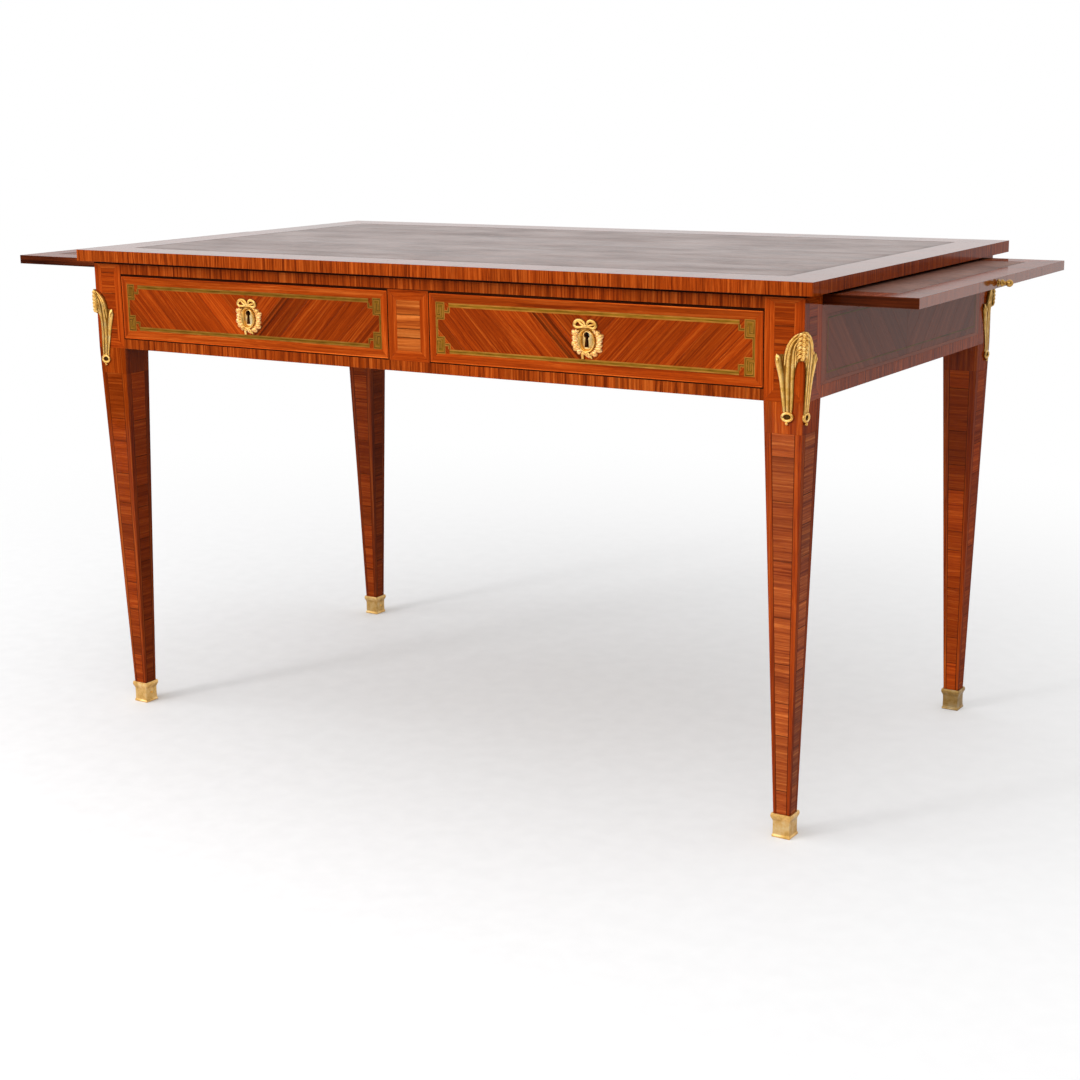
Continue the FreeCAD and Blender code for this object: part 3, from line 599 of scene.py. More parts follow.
def string_look(name, dark, light):
    """Stained stringing, cut along the grain."""
    look = new_look(name)
    place = look.grain()
    lines = look.noise(place, (30.0, 1500.0, 1.0))
    blotch = look.noise(place, (45.0, 160.0, 1.0))
    both = look.maths("MULTIPLY", look.maths("ADD", lines, blotch), 0.5)
    colour = look.ramp(both, [(0.4, dark), (0.6, light)])
    look.bump(lines, 0.1, 0.05 * mm)
    rough = look.stretch(lines, 0.3, 0.7, 0.42, 0.32)
    return look.finish(base_color=look.tinted(colour), roughness=rough, specular_ior_level=0.0,
                       coat_weight=0.36, coat_roughness=polish_rough)


# Dark, middle and light tone of each wood
band_tones = (0.11, 0.012, 0.001), (0.34, 0.048, 0.003), (0.49, 0.095, 0.011)
worn_tones = (0.08, 0.017, 0.006), (0.20, 0.042, 0.016), (0.28, 0.068, 0.030)
end_tones = (0.20, 0.036, 0.006), (0.33, 0.058, 0.008), (0.42, 0.090, 0.016)
field_tones = (0.15, 0.015, 0.001), (0.33, 0.041, 0.002), (0.46, 0.085, 0.008)
plain_tones = (0.20, 0.021, 0.001), (0.40, 0.053, 0.003), (0.54, 0.10, 0.011)
panel_tones = (0.17, 0.021, 0.002), (0.36, 0.066, 0.010), (0.53, 0.13, 0.024)
post_tones = (0.14, 0.014, 0.001), (0.29, 0.038, 0.002), (0.41, 0.076, 0.008)
deep_tones = (0.17, 0.019, 0.001), (0.30, 0.040, 0.003), (0.40, 0.070, 0.008)
pale_tones = (0.19, 0.028, 0.003), (0.40, 0.088, 0.012), (0.56, 0.16, 0.030)
side_tones = (0.20, 0.042, 0.013), (0.26, 0.056, 0.018), (0.32, 0.075, 0.026)
edge_tones = (0.02, 0.003, 0.001), (0.085, 0.014, 0.003), (0.15, 0.028, 0.006)
oak_tones = (0.24, 0.115, 0.042), (0.40, 0.215, 0.090), (0.50, 0.295, 0.135)
core_tones = (0.03, 0.010, 0.003), (0.09, 0.032, 0.011), (0.14, 0.055, 0.02)

# Shares of broad, narrow and fine figure
fine_figure = (0.20, 0.45, 0.35)
even_figure = (0.30, 0.40, 0.30)
leaf_figure = (0.34, 0.40, 0.26)
rail_figure = (0.36, 0.38, 0.26)
border_figure = (0.40, 0.36, 0.24)
side_figure = (0.45, 0.35, 0.20)
broad_figure = (0.55, 0.30, 0.15)

# Veneers: name, tones, veins, gloss, figure, pace and reach
veneer_table = [
    ("crossband", band_tones, 0.45, 0.36, fine_figure, 1.3, 0.11),
    ("field", field_tones, 0.5, 0.36, leaf_figure, 1.5, 0.13),
    ("border", plain_tones, 0.45, 0.36, border_figure, 1.2, 0.11),
    ("panel", panel_tones, 0.4, 0.2, leaf_figure, 1.3, 0.12),
    ("top_border", worn_tones, 0.4, 0.82, even_figure, 1.0, 0.11),
    ("rail", band_tones, 0.55, 0.36, rail_figure, 1.1, 0.10),
    ("slide_border", worn_tones, 0.4, 0.5, even_figure, 1.0, 0.11),
    ("slide_end", end_tones, 0.2, 1.0, even_figure, 1.0, 0.16),
    ("pale", pale_tones, 0.5, 0.3, broad_figure, 1.0, 0.12),
    ("side_field", side_tones, 0.25, 0.40, side_figure, 1.0, 0.12),
    ("leg_border", post_tones, 0.45, 0.14, border_figure, 1.2, 0.11),
    ("leg_panel", deep_tones, 0.35, 0.1, leaf_figure, 1.3, 0.12)]
veneers = [wood(f"tulipwood_{name}", *values) for name, *values in veneer_table]
BAND, FIELD, PLAIN, PANEL, POLISHED, RAIL, SLIDE, END, PALE, SIDE, POST, DEEP = range(12)

edge_wood = wood("slide_edge_wood", edge_tones, 0.5, 0.4, along="x")
oak_x, oak_y = (wood(f"oak_along_{axis}", oak_tones, 0.2, 0.0, along=axis) for axis in "xy")
core_x, core_y, core_z = (wood(f"core_along_{axis}", core_tones, 0.2, 0.0, along=axis) for axis in "xyz")
leather = leather_look("brown_leather")
leather_edge = leather_look("leather_edge", (0.0, 0.04), 0.5, 0.15)
slide_leather = leather_look("slide_leather", (0.0, 0.03), 1.3, 0.05)
gilt = gilt_look("gilt_bronze")
# Painted shade: a darker copy of the gilt for the back right mount and the knobs
shaded_gilt = gilt_look("shaded_gilt_bronze", bright=0.64)
pin_gilt = gilt_look("gilt_pins", False)
steel = steel_look("lock_steel")
strings = [string_look("stringing_green", (0.080, 0.038, 0.003), (0.19, 0.095, 0.008)),
           string_look("stringing_light", (0.26, 0.100, 0.010), (0.43, 0.18, 0.028)),
           string_look("stringing_olive", (0.14, 0.064, 0.004), (0.28, 0.130, 0.010))]
GREEN, LIGHT, OLIVE = range(3)
slot_looks = {"veneer": veneers, "stringing": strings, "gilt_bronze": [gilt]}

# Finishes of the CAD nodes, by patterns of their names
finishes = [
    (steel, "lock_*"), (pin_gilt, "mount_pins*"), (edge_wood, "slide_*_board"), (core_y, "side_apron*"),
    (core_z, "leg_*"), (core_z, "centre_stile*"), (core_z, "tenon_pegs*"), (core_z, "top_dowels*"),
    (core_x, "upper_front_rail*"), (core_x, "lower_front_rail*"), (core_x, "back_apron*"),
    (core_x, "*_front"), (oak_y, "drawer_runner*"), (oak_y, "drawer_guide*"), (oak_y, "centre_guide*"),
    (oak_y, "*_side_*"), (oak_x, "*")]


def dress_cad_nodes():
    """Gives every CAD node the first finish whose pattern fits its name."""
    for name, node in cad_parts.items():
        node.data.materials.clear()
        node.data.materials.append(next(look for look, pattern in finishes if fnmatch(name, pattern)))


# Top and its leather
edge_pitch = (60 * mm, 150 * mm)
border_pitch = (90 * mm, 190 * mm)
leather_lip = 0.5 * mm
leather_rim = 2.2 * mm
leather_margin = 20 * mm
leather_step = 25 * mm
leather_wave = 0.12 * mm
wave_pace = 14
tool_line = 6.0 * mm
tool_half = 0.7 * mm
tool_depth = 0.22 * mm
dusty_rim = 4 * mm
groove_dark = 0.6
roll_dark = 0.45
dust_dark = 0.25
under_tint = (0.4, 0.4, 0.4)


def dress_top():
    low, high = top_low, top_high
    panel_low, panel_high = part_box("top_leather")
    shells = Shells()
    depth = panel_high.z - panel_low.z
    under = Vector((depth, depth, 0))
    board(shells, low + under, Vector((high.x - depth, high.y - depth, panel_low.z)), len(veneers))
    face = Face((0, 0, high.z), (1, 0, 0), (0, 1, 0))
    panel = (panel_low.x, panel_low.y, panel_high.x, panel_high.y)
    framed(shells, face, (low.x, low.y, high.x, high.y), panel, POLISHED, cross=True, pitch=border_pitch,
           top=0.0, under=depth)
    middle, thick = (low.z + high.z) / 2, (high.z - low.z) / 2
    for out, reach, half in (((0, -1, 0), high.y, high.x), ((0, 1, 0), high.y, high.x),
                             ((1, 0, 0), high.x, high.y), ((-1, 0, 0), high.x, high.y)):
        edge = upright(Vector(out) * reach + Vector((0, 0, middle)), out)
        outline = rect(-half, -thick, half, thick)
        laid(shells, edge, outline, 90, BAND, 0, edge_pitch, top=0.0, under=depth)
    piece("veneered_top", shells, "veneer", ["top_panel"], looks=veneers + [oak_x])


def stations(low, high, marks, pitch):
    """Places between two ends: the marks in from each end, and even steps between them."""
    inner_low, inner_high = low + marks[-1], high - marks[-1]
    steps = max(1, round((inner_high - inner_low) / pitch))
    middle = [inner_low + (inner_high - inner_low) * k / steps for k in range(steps + 1)]
    return [low + m for m in marks[:-1]] + middle + [high - m for m in reversed(marks[:-1])]


def leather_panel(name, node, body, look=leather):
    """A flush leather panel: rolled edge, a blind tooled line and a slightly uneven surface."""
    low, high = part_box(node)
    tooled = [tool_line + k * tool_half for k in (-2, -1, 0, 1, 2)]
    marks = [0.0, leather_lip, leather_rim, *tooled, leather_margin]
    xs = stations(low.x, high.x, marks, leather_step)
    ys = stations(low.y, high.y, marks, leather_step)
    points, tints = [], []
    for y in ys:
        for x in xs:
            edge = min(x - low.x, high.x - x, y - low.y, high.y - y)
            groove = max(0.0, 1 - abs(edge - tool_line) / (1.5 * tool_half))
            rolled = max(0.0, 1 - edge / leather_lip)
            wave = 0.5 + 0.5 * noise.noise(Vector((x, y, 0)) * wave_pace)
            points.append(Vector((x, y, high.z - tool_depth * (groove + rolled) - leather_wave * wave)))
            dust = max(0.0, 1 - edge / dusty_rim)
            level = 1.0 - groove_dark * groove - roll_dark * rolled - dust_dark * dust
            tints.append((level, level, level))
    wide, deep = len(xs), len(ys)
    cells = [(r, i) for r in range(deep - 1) for i in range(wide - 1)]
    faces = [[r * wide + i, r * wide + i + 1, (r + 1) * wide + i + 1, (r + 1) * wide + i] for r, i in cells]
    looks = [int(min(r, i, deep - 2 - r, wide - 2 - i) < 2) for r, i in cells]
    rim = list(range(wide)) + [r * wide + wide - 1 for r in range(1, deep)]
    rim += [(deep - 1) * wide + i for i in reversed(range(wide - 1))]
    rim += [r * wide for r in reversed(range(1, deep - 1))]
    first, count = len(points), len(rim)
    points += [Vector((points[i].x, points[i].y, low.z)) for i in rim]
    tints += [under_tint] * count
    faces += [[rim[i], first + i, first + (i + 1) % count, rim[(i + 1) % count]] for i in range(count)]
    faces.append([first + i for i in range(count)])
    shells = Shells()
    shells.points, shells.tint, shells.faces = points, tints, faces
    shells.grain = [(p.x, p.y) for p in points]
    shells.looks = looks + [1] * (len(faces) - len(looks))
    piece(name, shells, "leather", [node], body, [look, leather_edge])


# Legs: shafts with a panel on each face, and square heads
foot_width = 24.5 * mm
panel_share = 0.60
panel_line = 0.9 * mm
panel_line_tint = (0.42, 0.42, 0.42)
panel_line_start = Vector((1, 1))
leaf_seam = 1.0 * mm
shaft_spread = 0.28
shaft_panel_top = 569 * mm
leg_pitch = (28 * mm, 85 * mm)
leg_level = {("front", "left"): (DEEP, 0.95), ("front", "right"): (PANEL, 1.14),
             ("back", "left"): (DEEP, 0.8), ("back", "right"): (DEEP, 1.25)}
block_border = 14.5 * mm
block_head = 12 * mm
block_foot = 16 * mm
block_pitch = (14 * mm, 34 * mm)
field_spread = 0.18
# Painted shade: dark strips under the top's overhang, along the rail's foot over the drawers and round each
# drawer front, standing in for the shade in these gaps
top_shadow = 4.6 * mm
shade_lip = 0.9 * mm
shade_head = 2.2 * shade_lip
painted_shade_level = 0.07


def dress_leg(end, side):
    low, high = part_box(f"leg_{end}_{side}")
    centre = (low + high) / 2
    shells = Shells()
    for out in ((1, 0), (-1, 0), (0, 1), (0, -1)):
        deep = (high.x - low.x) / 2 if out[0] else (high.y - low.y) / 2
        wide = (high.y - low.y) / 2 if out[0] else (high.x - low.x) / 2
        direction = Vector((*out, 0))
        dress_shaft(shells, centre, direction, deep, wide, *leg_level[end, side])
        if out in ((sides[side], 0), (0, ends[end])):
            dress_block(shells, centre, direction, deep, wide)
    piece(f"leg_{end}_{side}_veneer", shells, "veneer")


def taper(near, far, low, high, way=1):
    """A strip of a tapered face between half widths at its foot and head, on one side of the middle."""
    corners = [(way * near[0], low), (way * far[0], low), (way * far[1], high), (way * near[1], high)]
    return [Vector(p) for p in corners[::way]]


def dress_shaft(shells, centre, direction, deep, wide, panel, level):
    """One tapered face of a leg: crossgrained panel between upright borders, with a plain head above."""
    foot = foot_width / 2
    start = Vector((centre.x, centre.y, shoe_top)) + direction * foot
    end = Vector((centre.x, centre.y, apron_bottom)) + direction * deep
    length = (end - start).length
    face = Face(start, Vector((0, 0, 1)).cross(direction), end - start)
    split = length * (shaft_panel_top - shoe_top) / (apron_bottom - shoe_top)
    parts = ((0, split, 0, panel, leg_pitch, panel_line), (split, length, 90, POST, None, 0.0))
    for low, high, grain, look, pitch, line in parts:
        outer = [foot + (wide - foot) * b / length for b in (low, high)]
        inner = [panel_share * half for half in outer]
        lined = [half + line for half in inner]
        middle = taper([-half for half in inner], inner, low, high)
        laid(shells, face, middle, grain, look, 90, pitch, level, spread=shaft_spread, seam=leaf_seam)
        for way in (1, -1):
            laid(shells, face, taper(lined, outer, low, high, way), 90, POST, level=level)
            if line:
                thin = taper(inner, lined, low, high, way)
                leaf(shells, face, thin, 90, POST, panel_line_tint, start=panel_line_start)


def dress_block(shells, centre, direction, deep, wide):
    """The square head of a leg: an upright crossgrained panel in a border."""
    face = upright(Vector((centre.x, centre.y, 0)) + direction * deep, direction)
    outer = (-wide, apron_bottom, wide, top_under - top_shadow)
    inner = (-wide + block_border, apron_bottom + block_foot, wide - block_border, top_under - block_head)
    framed(shells, face, outer, inner, PLAIN)
    # Painted shade: a dark strip where the top's overhang shades the head
    laid(shells, face, rect(-wide, outer[3], wide, top_under), 0, PLAIN, level=painted_shade_level)
    laid(shells, face, rect(*inner), 0, FIELD, 90, block_pitch, spread=field_spread, seam=leaf_seam)


# Front frame
stile_border = 15.5 * mm
stile_pitch = (10 * mm, 22 * mm)
stile_seam = 1.3 * leaf_seam
stile_spread = 0.20
rail_pitch = (45 * mm, 120 * mm)


def dress_stile(shells, face):
    """The bordered upright between two drawers or two panels."""
    outer = (-stile_half, front_bottom, stile_half, rail_bottom)
    inner = inset(outer, stile_border)
    framed(shells, face, outer, inner, PLAIN)
    laid(shells, face, rect(*inner), 0, PALE, 90, stile_pitch, spread=stile_spread, seam=stile_seam)


def dress_front_frame():
    face = upright((0, front_y, 0), (0, -1, 0))
    upper, lower, stile = Shells(), Shells(), Shells()
    half, lip, shadow = leg_inner_x, rail_bottom + shade_lip, top_under - top_shadow
    laid(upper, face, rect(-half, lip, half, shadow), 90, RAIL, 0, rail_pitch)
    # Painted shade: dark strips along the rail's foot over the drawers and under the top's overhang
    for low, high in ((rail_bottom, lip), (shadow, top_under)):
        laid(upper, face, rect(-half, low, half, high), 0, PLAIN, level=painted_shade_level)
    piece("upper_front_rail_veneer", upper, "veneer")
    laid(lower, face, rect(-half, apron_bottom, half, front_bottom), 90, RAIL, 0, rail_pitch)
    piece("lower_front_rail_veneer", lower, "veneer")
    dress_stile(stile, face)
    piece("centre_stile_veneer", stile, "veneer")


# Drawer fronts and the key fret let into them
string_widths = (6.4 * mm, 2.6 * mm)
string_rises = (0.22 * mm, 0.26 * mm)
string_step = 1.3 * mm
string_spread = 0.06
string_border = 13.5 * mm + string_step
string_level = {"left": 0.74, "right": 1.0}
key_width = 16.0 * mm
key_height = 26.0 * mm
key_gap = 5.0 * mm
key_hook = 12.0 * mm
key_ground = veneer_rise + 0.02 * mm
fret_widths = (4.2 * mm, 1.7 * mm)
field_pitch = (9 * mm, 44 * mm)
keyhole_drop = 48.0 * mm
keyhole_room = (6 * mm, 18 * mm, 6 * mm)
# Painted highlight: width and level of a lighter band along the drawer front's edges
highlight_band = 1.6 * mm
highlight_level = 1.5

# Ends of each dark streak along the middle of the field, in millimetres, and its level
dark_streaks = {"left": [(34, 90, 0.78), (38, 44, 0.5), (48, 52, 0.55)],
                "right": [(-66, -34, 0.82), (-61, -55, 0.4), (-52, -49, 0.6), (-44, -38, 0.45)]}


def stringing(shells, face, path, widths, looks, closed=False, level=1.0):
    """A let-in line with another along its middle."""
    for width, look, rise in zip(widths, looks, string_rises):
        inlay(shells, face, path, width, look, rise, closed, level)


def chevron(shells, face, field, look, streaks=(), **how):
    """A field in two halves whose grain runs down to the middle, with streaks along the grain."""
    left, bottom, right, top = field
    middle, mid_height = (left + right) / 2, (bottom + top) / 2
    for half, way in ((rect(left, bottom, middle, top), -1), (rect(middle, bottom, right, top), 1)):
        grain = way * 45
        across = heading(grain + 90)
        dark = [(*sorted(Vector((u * mm, mid_height)).dot(across) for u in (near, far)), level)
                for near, far, level in streaks if near * way > 0]
        laid(shells, face, half, grain, look, grain + 90, field_pitch, spread=field_spread,
             streaks=dark, **how)


def dress_drawer(side):
    low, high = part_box(f"drawer_{side}_front")
    face = upright(((low.x + high.x) / 2, low.y, 0), (0, -1, 0))
    half = (high.x - low.x) / 2
    outer = (-half, low.z, half, high.z)
    shade_frame = (-half + shade_lip, low.z + shade_lip, half - shade_lip, high.z - shade_head)
    rubbed_and_highlit = inset(shade_frame, highlight_band)
    inner = inset(outer, string_border)
    shells = Shells()
    # Painted shade: a dark frame round the drawer front, widest along its top
    framed(shells, face, outer, shade_frame, PLAIN, level=painted_shade_level)
    # Painted highlight: a lighter band just inside, where the front's edges catch the light
    framed(shells, face, shade_frame, rubbed_and_highlit, PLAIN, level=highlight_level)
    framed(shells, face, rubbed_and_highlit, inner, PLAIN)
    eye = high.z - keyhole_drop
    hole = (-keyhole_room[0], eye - keyhole_room[1], keyhole_room[0], eye + keyhole_room[2])
    chevron(shells, face, inner, FIELD, dark_streaks[side], hole=hole)
    piece(f"drawer_{side}_veneer", shells, "veneer", body=f"{side}_drawer")
    dress_stringing(side, face, (low.z + high.z) / 2)


def dress_stringing(side, face, mid_z):
    """Olive bands between light lines, and in each corner a fret that turns in on itself from the post."""
    low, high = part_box(f"drawer_{side}_stringing")
    half_u, half_v = (high.x - low.x) / 2, (high.z - low.z) / 2
    shells = Shells()
    level = string_level[side]
    wide, fret = string_widths[0], fret_widths[0]
    band_v = half_v - string_step - wide / 2
    key_u, key_v = half_u - key_width, half_v - key_height
    hook_u, hook_v = key_u - key_gap - fret / 2, half_v - key_hook - fret / 2
    hook = [(hook_u, band_v - wide / 2), (hook_u, hook_v), (key_u, hook_v)]
    for flip_v in (-1, 1):
        band = [(u, mid_z + flip_v * band_v) for u in (-hook_u, hook_u)]
        stringing(shells, face, band, string_widths, (LIGHT, OLIVE), level=level)
        for flip_u in (-1, 1):
            def place(path):
                return [Vector((flip_u * u, mid_z + flip_v * v)) for u, v in path]

            for path in (hook, fret_path(key_u, key_v, half_u, half_v)):
                stringing(shells, face, place(path), fret_widths, (LIGHT, GREEN), level=level)
            ground = place(rect(key_u, key_v, half_u, half_v))[::flip_u * flip_v]
            leaf(shells, face, ground, 0, OLIVE, tone(level), top=key_ground)
    piece(f"drawer_{side}_inlay", shells, "stringing", [f"drawer_{side}_stringing"], f"{side}_drawer")


def fret_path(near_u, near_v, far_u, far_v):
    """The middle of the fret's line, from half way up the post to its end inside the key."""
    width = fret_widths[0]
    half = width / 2
    left, right, low, high = near_u + half, far_u - half, near_v + half, far_v - half
    middle, inner = (near_u + far_u) / 2, low + 1.2 * width
    return [(right, 0), (right, low), (left, low), (left, high), (right, high), (right, inner),
            (middle, inner), (middle, high - 1.4 * width)]


# Aprons at the sides and the back
apron_border = 14 * mm
apron_foot = 17 * mm
apron_step = 5 * mm
apron_foot_level = 1.3
apron_border_level = 1.25
thin_string = 2.4 * mm
side_string = (19.5 * mm, 32 * mm, 18.5 * mm)


def dress_side_apron(side):
    low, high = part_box(f"side_apron_{side}")
    way = sides[side]
    face = upright((way * body_x, 0, 0), (way, 0, 0))
    shells, lines = Shells(), Shells()
    half, foot = leg_inner_y, low.z + apron_foot
    laid(shells, face, rect(-half, low.z, half, foot), 90, BAND, 0, rail_pitch, level=apron_foot_level)
    outer = (-half, foot, half, high.z)
    inner = (-half + apron_border, foot + apron_step, half - apron_border, high.z - apron_border)
    framed(shells, face, outer, inner, SIDE, level=apron_border_level)
    chevron(shells, face, inner, SIDE)
    piece(f"side_apron_{side}_veneer", shells, "veneer")
    end_in, foot_in, head_in = side_string
    path = rect(-half + end_in, low.z + foot_in, half - end_in, high.z - head_in)
    stringing(lines, face, path, (thin_string, thin_string / 2), (OLIVE, GREEN), closed=True)
    piece(f"side_apron_{side}_inlay", lines, "stringing")


def dress_back_apron():
    low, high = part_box("back_apron")
    face = upright((0, high.y, 0), (0, 1, 0))
    shells, lines = Shells(), Shells()
    half = leg_inner_x
    for bottom, top in ((low.z, front_bottom), (rail_bottom, high.z)):
        laid(shells, face, rect(-half, bottom, half, top), 90, BAND, 0, rail_pitch)
    dress_stile(shells, face)
    for near, far in ((-half, -stile_half), (stile_half, half)):
        outer = (near, front_bottom, far, rail_bottom)
        inner = inset(outer, string_border)
        framed(shells, face, outer, inner, PLAIN)
        chevron(shells, face, inner, FIELD)
        stringing(lines, face, rect(*inner), string_widths, (LIGHT, OLIVE), closed=True)
    piece("back_apron_veneer", shells, "veneer")
    piece("back_apron_inlay", lines, "stringing")


# Slides, and radius and height of their knobs in millimetres
knob_ball = 5.2 * mm
knob_clear = 0.3 * mm
knob_steps = 12
knob_profile = [(0.2, -4), (2.0, -4), (2.0, 0), (5.0, 0), (5.3, 0.5), (5.1, 1.2), (4.0, 1.6), (2.8, 2.2),
                (2.5, 3.0), (3.4, 3.6), (4.7, 4.5), (5.1, 5.8), (4.7, 7.1), (3.4, 8.1), (2.6, 8.8),
                (2.7, 9.4)]
knob_tip = [(1.5, 0.8), (1.3, 0.3), (0.7, 0.05), (0.1, 0.0)]


def dress_slide(side):
    low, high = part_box(f"slide_{side}_board")
    inner_low, inner_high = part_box(f"slide_{side}_leather")
    shells = Shells()
    face = Face((0, 0, high.z), (1, 0, 0), (0, 1, 0))
    panel = (inner_low.x, inner_low.y, inner_high.x, inner_high.y)
    framed(shells, face, (low.x, low.y, high.x, high.y), panel, SLIDE, cross=True, pitch=border_pitch)
    end_x = low.x if side == "left" else high.x
    edge = upright((end_x, 0, 0), (sides[side], 0, 0))
    laid(shells, edge, rect(-high.y, low.z, high.y, high.z), 90, END, 0, edge_pitch)
    piece(f"slide_{side}_veneer", shells, "veneer", body=f"{side}_slide")
    leather_panel(f"slide_{side}_leather_panel", f"slide_{side}_leather", f"{side}_slide", slide_leather)
    dress_knob(side, end_x)


def dress_knob(side, end_x):
    """A turned knob: rose, waist, bulb, ball and a small tip."""
    low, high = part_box(f"slide_{side}_knob")
    board_low, board_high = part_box(f"slide_{side}_board")
    way = sides[side]
    face = upright((end_x, 0, (board_low.z + board_high.z) / 2), (way, 0, 0))
    reach = max(high.x * way, low.x * way) - end_x * way
    ball_at = reach - knob_ball - knob_clear
    profile = [(radius * mm, height * mm) for radius, height in knob_profile]
    for k in range(2, knob_steps):
        turn = math.pi * k / knob_steps
        profile.append((knob_ball * math.sin(turn), ball_at - knob_ball * math.cos(turn)))
    profile += [(radius * mm, reach - depth * mm) for radius, depth in knob_tip]
    shells = Shells()
    turned(shells, face, (0, 0), profile)
    piece(f"slide_{side}_turned_knob", shells, "gilt_bronze", [f"slide_{side}_knob"], f"{side}_slide",
          [shaded_gilt])


# Gilt shoes: half width and height of each moulding in millimetres
shoe_profile = [(13.2, 0.0), (13.75, 0.5), (13.75, 3.0), (13.3, 3.6), (12.9, 4.4), (12.75, 6.0), (12.6, 15.0),
                (12.75, 23.0), (12.95, 24.5), (13.5, 25.3), (13.5, 26.2), (13.9, 26.8), (14.7, 28.4),
                (14.9, 29.4), (15.25, 30.0), (15.25, 32.4), (14.9, 33.2), (14.9, 34.0), (14.5, 35.0),
                (12.5, 35.0), (12.2, 33.0)]
shoe_arris = 0.45 * mm
shoe_waist = 12 * mm
shoe_swell = 3 * mm
# Painted light and shade on the shoes: lighter where the moulding swells out, darker at the waist, and the
# back shoes darker still
shoe_level = 0.76
shoe_relief_light = 0.15
shoe_hue = (1.0, 1.06, 1.4)
shoe_shade = {("back", "right"): 0.5, ("back", "left"): 0.8}


def dress_sabot(end, side):
    low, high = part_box(f"sabot_{end}_{side}")
    centre = (low + high) / 2
    rings, tints = [], []
    for half, height in shoe_profile:
        half, eased = half * mm, half * mm - shoe_arris
        ring = []
        for a, b in ((1, 1), (-1, 1), (-1, -1), (1, -1)):
            corner = [(a * half, b * eased), (a * eased, b * half)]
            ring += corner if a * b > 0 else corner[::-1]
        rings.append([Vector((centre.x + x, centre.y + y, low.z + height * mm)) for x, y in ring])
        # Painted light and shade: level follows the moulding's width, then the back shoes are darkened
        level = shoe_level + shoe_relief_light * (half - shoe_waist) / shoe_swell
        level *= shoe_shade.get((end, side), 1.0)
        tints += [[part * level for part in shoe_hue]] * len(ring)
    shells = Shells()
    shells.loft(rings, tints)
    piece(f"sabot_{end}_{side}_gilt", shells, "gilt_bronze", [f"sabot_{end}_{side}"])


# Gilt corner mounts, in millimetres from the arris and down from the top
mount_outline = [(-1, 0), (6, 2.2), (10.5, 5.2), (16.5, 11), (20.5, 18.5), (23, 26), (25, 31), (31, 31.4),
                 (35.4, 33), (35.4, 40), (32.5, 52), (28.4, 70), (25, 90), (22, 104), (20.6, 110), (9, 110),
                 (7.4, 100), (7.6, 84), (8.4, 66), (7.6, 52), (5, 40), (-1, 38.5)]
mount_bed = [(2, 3, 0.8, 5, 2.4), (7.5, 9.5, 0.8, 12, 3.4), (12, 18, 0.8, 17, 3.8), (15, 30, 0.8, 19, 3.6),
             (17, 44, 0.6, 19, 2.6), (17.6, 62, 0.3, 16, 1.7), (16.4, 84, 0.2, 13.5, 1.3),
             (14.6, 109, 0.2, 9, 1.2)]

# Folds of a mount: steps, and rows of a, b, d, width and height
mount_ribs = [
    (28, [(1.5, 2, 1.8, 2.4, 2.6), (8, 5.6, 2.2, 3.6, 3.2), (13.4, 11.2, 2.2, 4.6, 3.4),
          (18.2, 18.8, 2, 5, 3.4), (20.8, 27, 1.6, 4.8, 3.0), (22, 36, 1.2, 4, 2.6),
          (22.2, 46, 0.8, 2.8, 1.8), (22, 57, 0.3, 1, 0.6)]),
    (30, [(4, 7.5, 3.2, 2, 1.0), (9.4, 11.6, 3.6, 2.8, 1.4), (13.2, 17.4, 3.6, 3.6, 1.8),
          (15.8, 24.5, 3.2, 4.6, 2.0), (17.2, 34, 2.6, 5.2, 2.2), (17.8, 47, 1.8, 5.8, 2.0),
          (17.4, 68, 1, 6, 1.8), (16, 88, 0.6, 5.2, 1.7), (14.6, 109, 0.5, 4, 1.4)]),
    (30, [(4.4, 13.6, 3.4, 1.8, 1.2), (7.6, 17.6, 3.4, 2.6, 1.6), (9.6, 23.6, 3, 3.4, 1.9),
          (10.6, 32, 2.4, 4.2, 2.2), (11, 44, 1.6, 4.8, 2.2), (11, 66, 0.8, 4.8, 1.9),
          (10, 88, 0.5, 4.4, 1.7), (9.8, 108, 0.4, 3.2, 1.4)]),
    (22, [(4.6, 20, 3.2, 1.6, 1.4), (6.4, 24.5, 2.8, 2.2, 1.8), (7.2, 31, 2, 2.6, 2), (7.4, 39, 1.2, 2.8, 2),
          (8, 50, 0.3, 0.8, 0.6)]),
    (22, [(4.4, 26.5, 2.8, 1.6, 1.4), (5.2, 30.5, 2.2, 2.2, 1.8), (5.4, 35.5, 1.4, 2.4, 1.8),
          (5.2, 41, 0.4, 0.8, 0.5)]),
    (32, [(35, 31.2, 1.6, 2, 0.8), (33.6, 34, 1.8, 6.8, 2.0), (32.3, 39, 1.5, 9.4, 2.8),
          (29.9, 48, 1.2, 9.4, 2.9), (27.2, 58, 0.9, 8.4, 2.5), (25.2, 69, 0.6, 7.2, 2.1),
          (22.8, 84, 0.4, 6, 1.8), (20.6, 98, 0.3, 5.2, 1.6), (19.2, 109, 0.3, 4.4, 1.4)]),
    (12, [(30.6, 45, 3.4, 1.6, 0.8), (32.4, 39, 3.8, 4.4, 2.0), (33.6, 34.4, 2.8, 2.4, 1.0)])]

# Plate, ring and drop of a mount
mount_plate = (-0.3 * mm, 1.4 * mm)
# Painted shade: the dark tint of the mount's plate and bed and of the wreath's bed, seen in the gaps between
# folds and leaves
hollow_shade_tint = (0.30, 0.21, 0.11)
mount_drift = {("front", "right"): (1.6 * mm, 0.052)}
